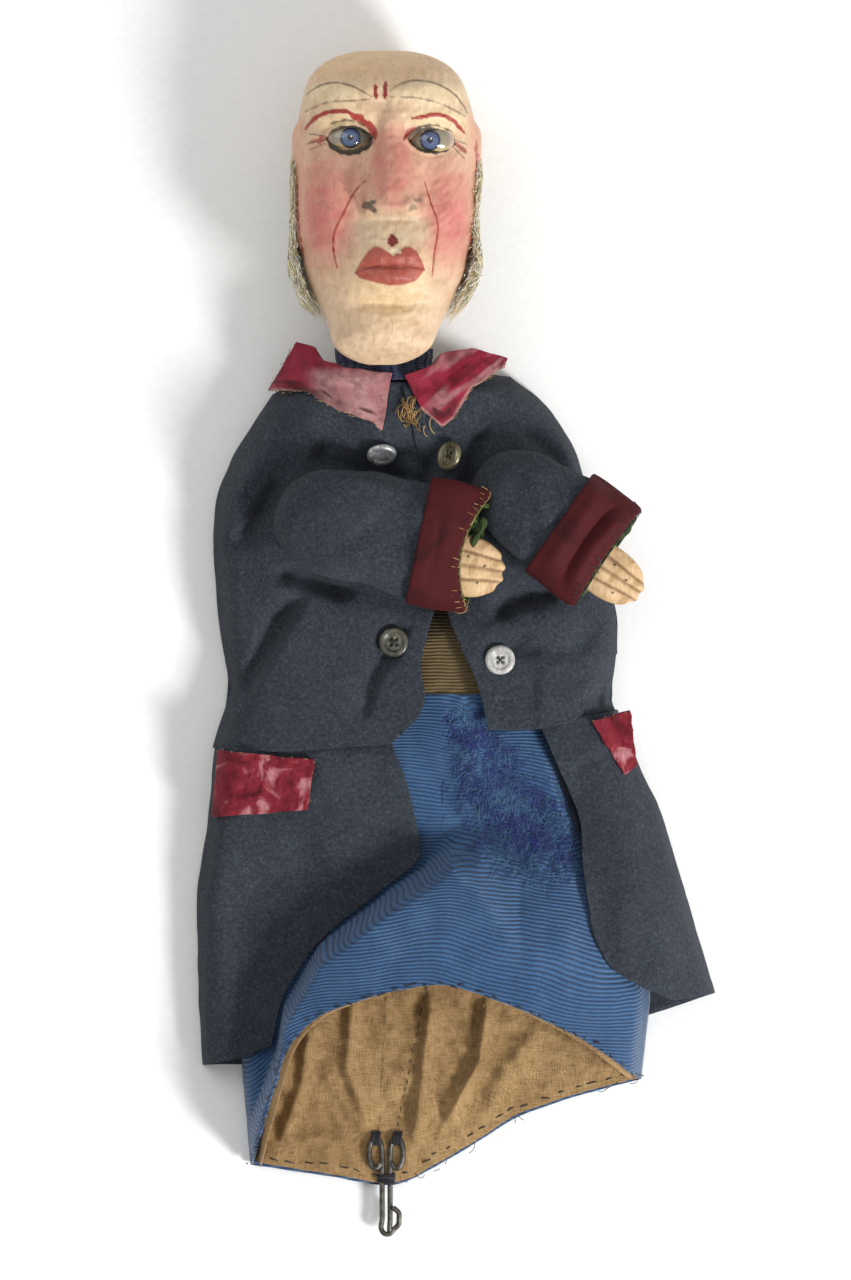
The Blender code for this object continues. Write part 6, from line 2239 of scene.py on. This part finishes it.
    def make_hair(self) -> None:
        """Straw-coloured fibre glued round the back from ear to ear, in short tangled locks that hang past the jaw."""
        draw = np.random.default_rng(221)
        count, steps = 3600, 7
        side = draw.uniform(0, 1, count)
        spread = np.where(
            draw.uniform(0, 1, count) < 0.5,
            np.where(side < 0.5, draw.uniform(0, 0.16, count), draw.uniform(0.84, 1, count)), side
        )
        angle = math.radians(169) + math.radians(202) * spread
        y0 = draw.uniform(200, 266, count)
        t = np.linspace(0, 1, steps)
        run = draw.uniform(6, 18, (count, 1))
        y = y0[:, None] - run * t + draw.normal(0, 1.6, (count, 1)) * np.sin(9 * t + draw.uniform(0, 6, (count, 1)))
        lift = (
            0.3
            + draw.uniform(0.4, 1.0, (count, 1)) * (3.0 + 6.0 * smooth((238 - y) / 34))
            * np.sin(math.pi * (0.25 + 0.6 * t))
        )
        right, left, front, back = (value.reshape(y.shape) for value in self.outline(y.ravel()))
        wave = draw.normal(0, 0.09, (count, 1)) * np.sin(8 * t + draw.uniform(0, 6, (count, 1)))
        a = angle[:, None] + draw.normal(0, 0.05, (count, 1)) * t + wave
        middle = (right + left) / 2
        c, s = np.cos(a), np.sin(a)
        half = np.where(c > 0, left - middle, middle - right)
        x = middle + (half + lift) * squared(c, 0.86)
        z = (front + back) / 2 + ((front - back) / 2 + lift * 0.8) * squared(s, 0.8)
        z = np.clip(z, 1.2, None)
        size = draw.uniform(0.14, 0.3, (count, 1)) * np.array([1, 1, 1, 1, 1, 0.8, 0.4])
        obj = strands(
            "hair_fibre", np.stack([x, y, z], axis=-1), size, Finishes.HAIR.value, 3, draw.uniform(0, 1, count)
        )
        place(obj, "head", "straw_hair", "hair_fringe")

    def make_neck(self) -> None:
        """The round neck below the jaw with the bore for the wearer's finger, and the navy band gathered round it."""
        turn = -circle(96)
        low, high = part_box("neck_band")
        cx, cz = (low.x + high.x) / 2 / MM, (low.z + high.z) / 2 / MM
        y0 = 155.0
        y = np.concatenate(
            [np.linspace(199, y0 + 0.8, 30), [y0 + 0.2, y0], np.full(3, y0), np.linspace(y0 + 0.8, y0 + 61, 12)]
        )
        r = np.concatenate([np.full(30, 20.8), [20.5, 20.0], [17, 14, 11.4], np.full(12, 11.0)])
        points = np.stack(
            [cx + r[:, None] * np.cos(turn), np.repeat(y[:, None], 96, axis=1), cz - r[:, None] * np.sin(turn)], axis=-1
        )
        stem = surface("neck_stem", points, Finishes.SKIN.value, wrap=True, caps=True)
        attribute(stem, "paint", np.repeat(rgb("#D9BC92")[None], len(stem.data.vertices), axis=0))
        place(stem, "head", "painted_wood")
        t = np.linspace(0, 1, 40)
        turn = -circle(240)
        pleat = 0.55 * np.sin(23 * turn + 2 * np.sin(3 * turn)) + 0.35 * np.sin(41 * turn + 1.0)
        tie = 1.1 * np.exp(-(((t - 0.55) / 0.16) ** 2))
        radius = 22.7 + 1.2 * t**2 + (1 - 0.5 * np.exp(-(((t - 0.55) / 0.2) ** 2))) * 0.3
        r = radius[:, None] - tie[:, None] + pleat[None, :] * (0.6 + 0.9 * np.abs(t - 0.5))[:, None]
        y = 171.0 - 15.2 * t[:, None] + 0.5 * ripple(20 * turn[None, :], 9 * t[:, None], 231, 16)
        x, z = cx + r * np.cos(turn), cz - r * np.sin(turn)
        band = np.stack([x, y, np.maximum(z, 2.6)], axis=-1)
        obj = thicken(surface("neck_band_satin", band, Finishes.NAVY.value, wrap=True), 0.9)
        place(obj, "neck", "blue_satin", "neck_band")

    def build(self) -> None:
        """Makes the head and all that rides on it."""
        points, facing = self.shape()
        obj = surface("head_carved", points[1:-1], Finishes.SKIN.value, wrap=True, caps=True)
        colour = self.colours(points[1:-1, :, 0], points[1:-1, :, 1], facing[1:-1])
        attribute(obj, "paint", colour.reshape(-1, 3))
        place(obj, "head", "painted_wood", "head")
        for name, (cx, cy, *_), gaze in (("eye_right", self.eyes[0], 0.6), ("eye_left", self.eyes[1], -0.8)):
            self.make_eye(name, cx, cy, gaze)
        self.make_hair()
        self.make_neck()


# ---------------------------------------------------------------- stage


@dataclass
class Studio:
    """The table of white paper, the camera straight above it and soft lights."""

    height: float = 9.0
    plane: float = 0.03
    span: float = 0.64
    centre: tuple[float, float] = (0.01275, 0.025)

    def area(self, name: str, spot: tuple[float, float, float], size: float, power: float) -> None:
        """A square soft light that looks at the middle of the puppet."""
        data = bpy.data.lights.new(name, "AREA")
        data.shape = "SQUARE"
        data.size = size
        data.energy = power
        lamp = bpy.data.objects.new(name, data)
        bpy.context.scene.collection.objects.link(lamp)
        aim = np.array([self.centre[0], self.centre[1], 0.02]) - np.array(spot)
        lamp.location = spot
        lamp.rotation_euler = (math.acos(-aim[2] / np.linalg.norm(aim)), 0, math.atan2(aim[1], aim[0]) - math.pi / 2)

    def build(self) -> None:
        """Makes the floor, the camera, the lights and the pale surroundings."""
        grid = np.linspace(-4000, 4000, 9)
        x, y = np.meshgrid(grid, grid[::-1])
        floor = surface("paper_floor", np.stack([x, y, np.full_like(x, -0.1)], axis=-1), Finishes.PAPER.value)
        data = bpy.data.cameras.new("camera")
        data.sensor_fit = "VERTICAL"
        data.lens = data.sensor_height / 2 / (self.span / 2 / (self.height - self.plane))
        camera = bpy.data.objects.new("camera", data)
        camera.location = (*self.centre, self.height)
        bpy.context.scene.collection.objects.link(camera)
        bpy.context.scene.camera = camera
        self.area("key", (1.7, -1.3, 1.5), 0.6, 70)
        self.area("fill", (-1.3, 1.2, 1.7), 1.6, 13)
        self.area("top", (0.2, 0.3, 1.8), 1.4, 2.5)
        world = bpy.data.worlds.new("surroundings")
        bpy.context.scene.world = world
        world.use_nodes = True
        world.node_tree.nodes["Background"].inputs["Color"].default_value = (1.0, 1.0, 1.0, 1.0)
        world.node_tree.nodes["Background"].inputs["Strength"].default_value = 0.46
        bpy.context.scene.view_settings.view_transform = "Standard"


def main() -> None:
    """Builds the stage and each sub-assembly in order."""
    Studio().build()
    Glove().build()
    Coat().build()
    for name, finish, holes, tilt in (
        ("button_upper_right", Finishes.SILVER, False, 2.2), ("button_upper_left", Finishes.OLIVE, True, 1.6),
        ("button_lower_right", Finishes.HORN, True, 1.2), ("button_lower_left", Finishes.PEARL, True, 1.0)
    ):
        Button(name, finish, holes, tilt).build()
    Arm("right", -12.0, 76.0, 97.0, 21.0, False, 15.4, 8.5, 1.13).build()
    Arm("left", -35.0, 46.0, 76.0, 26.0, True, 13.2, 1.5, 1.0).build()
    Hook().build()
    Head().build()


if __name__ == "__main__":
    main()
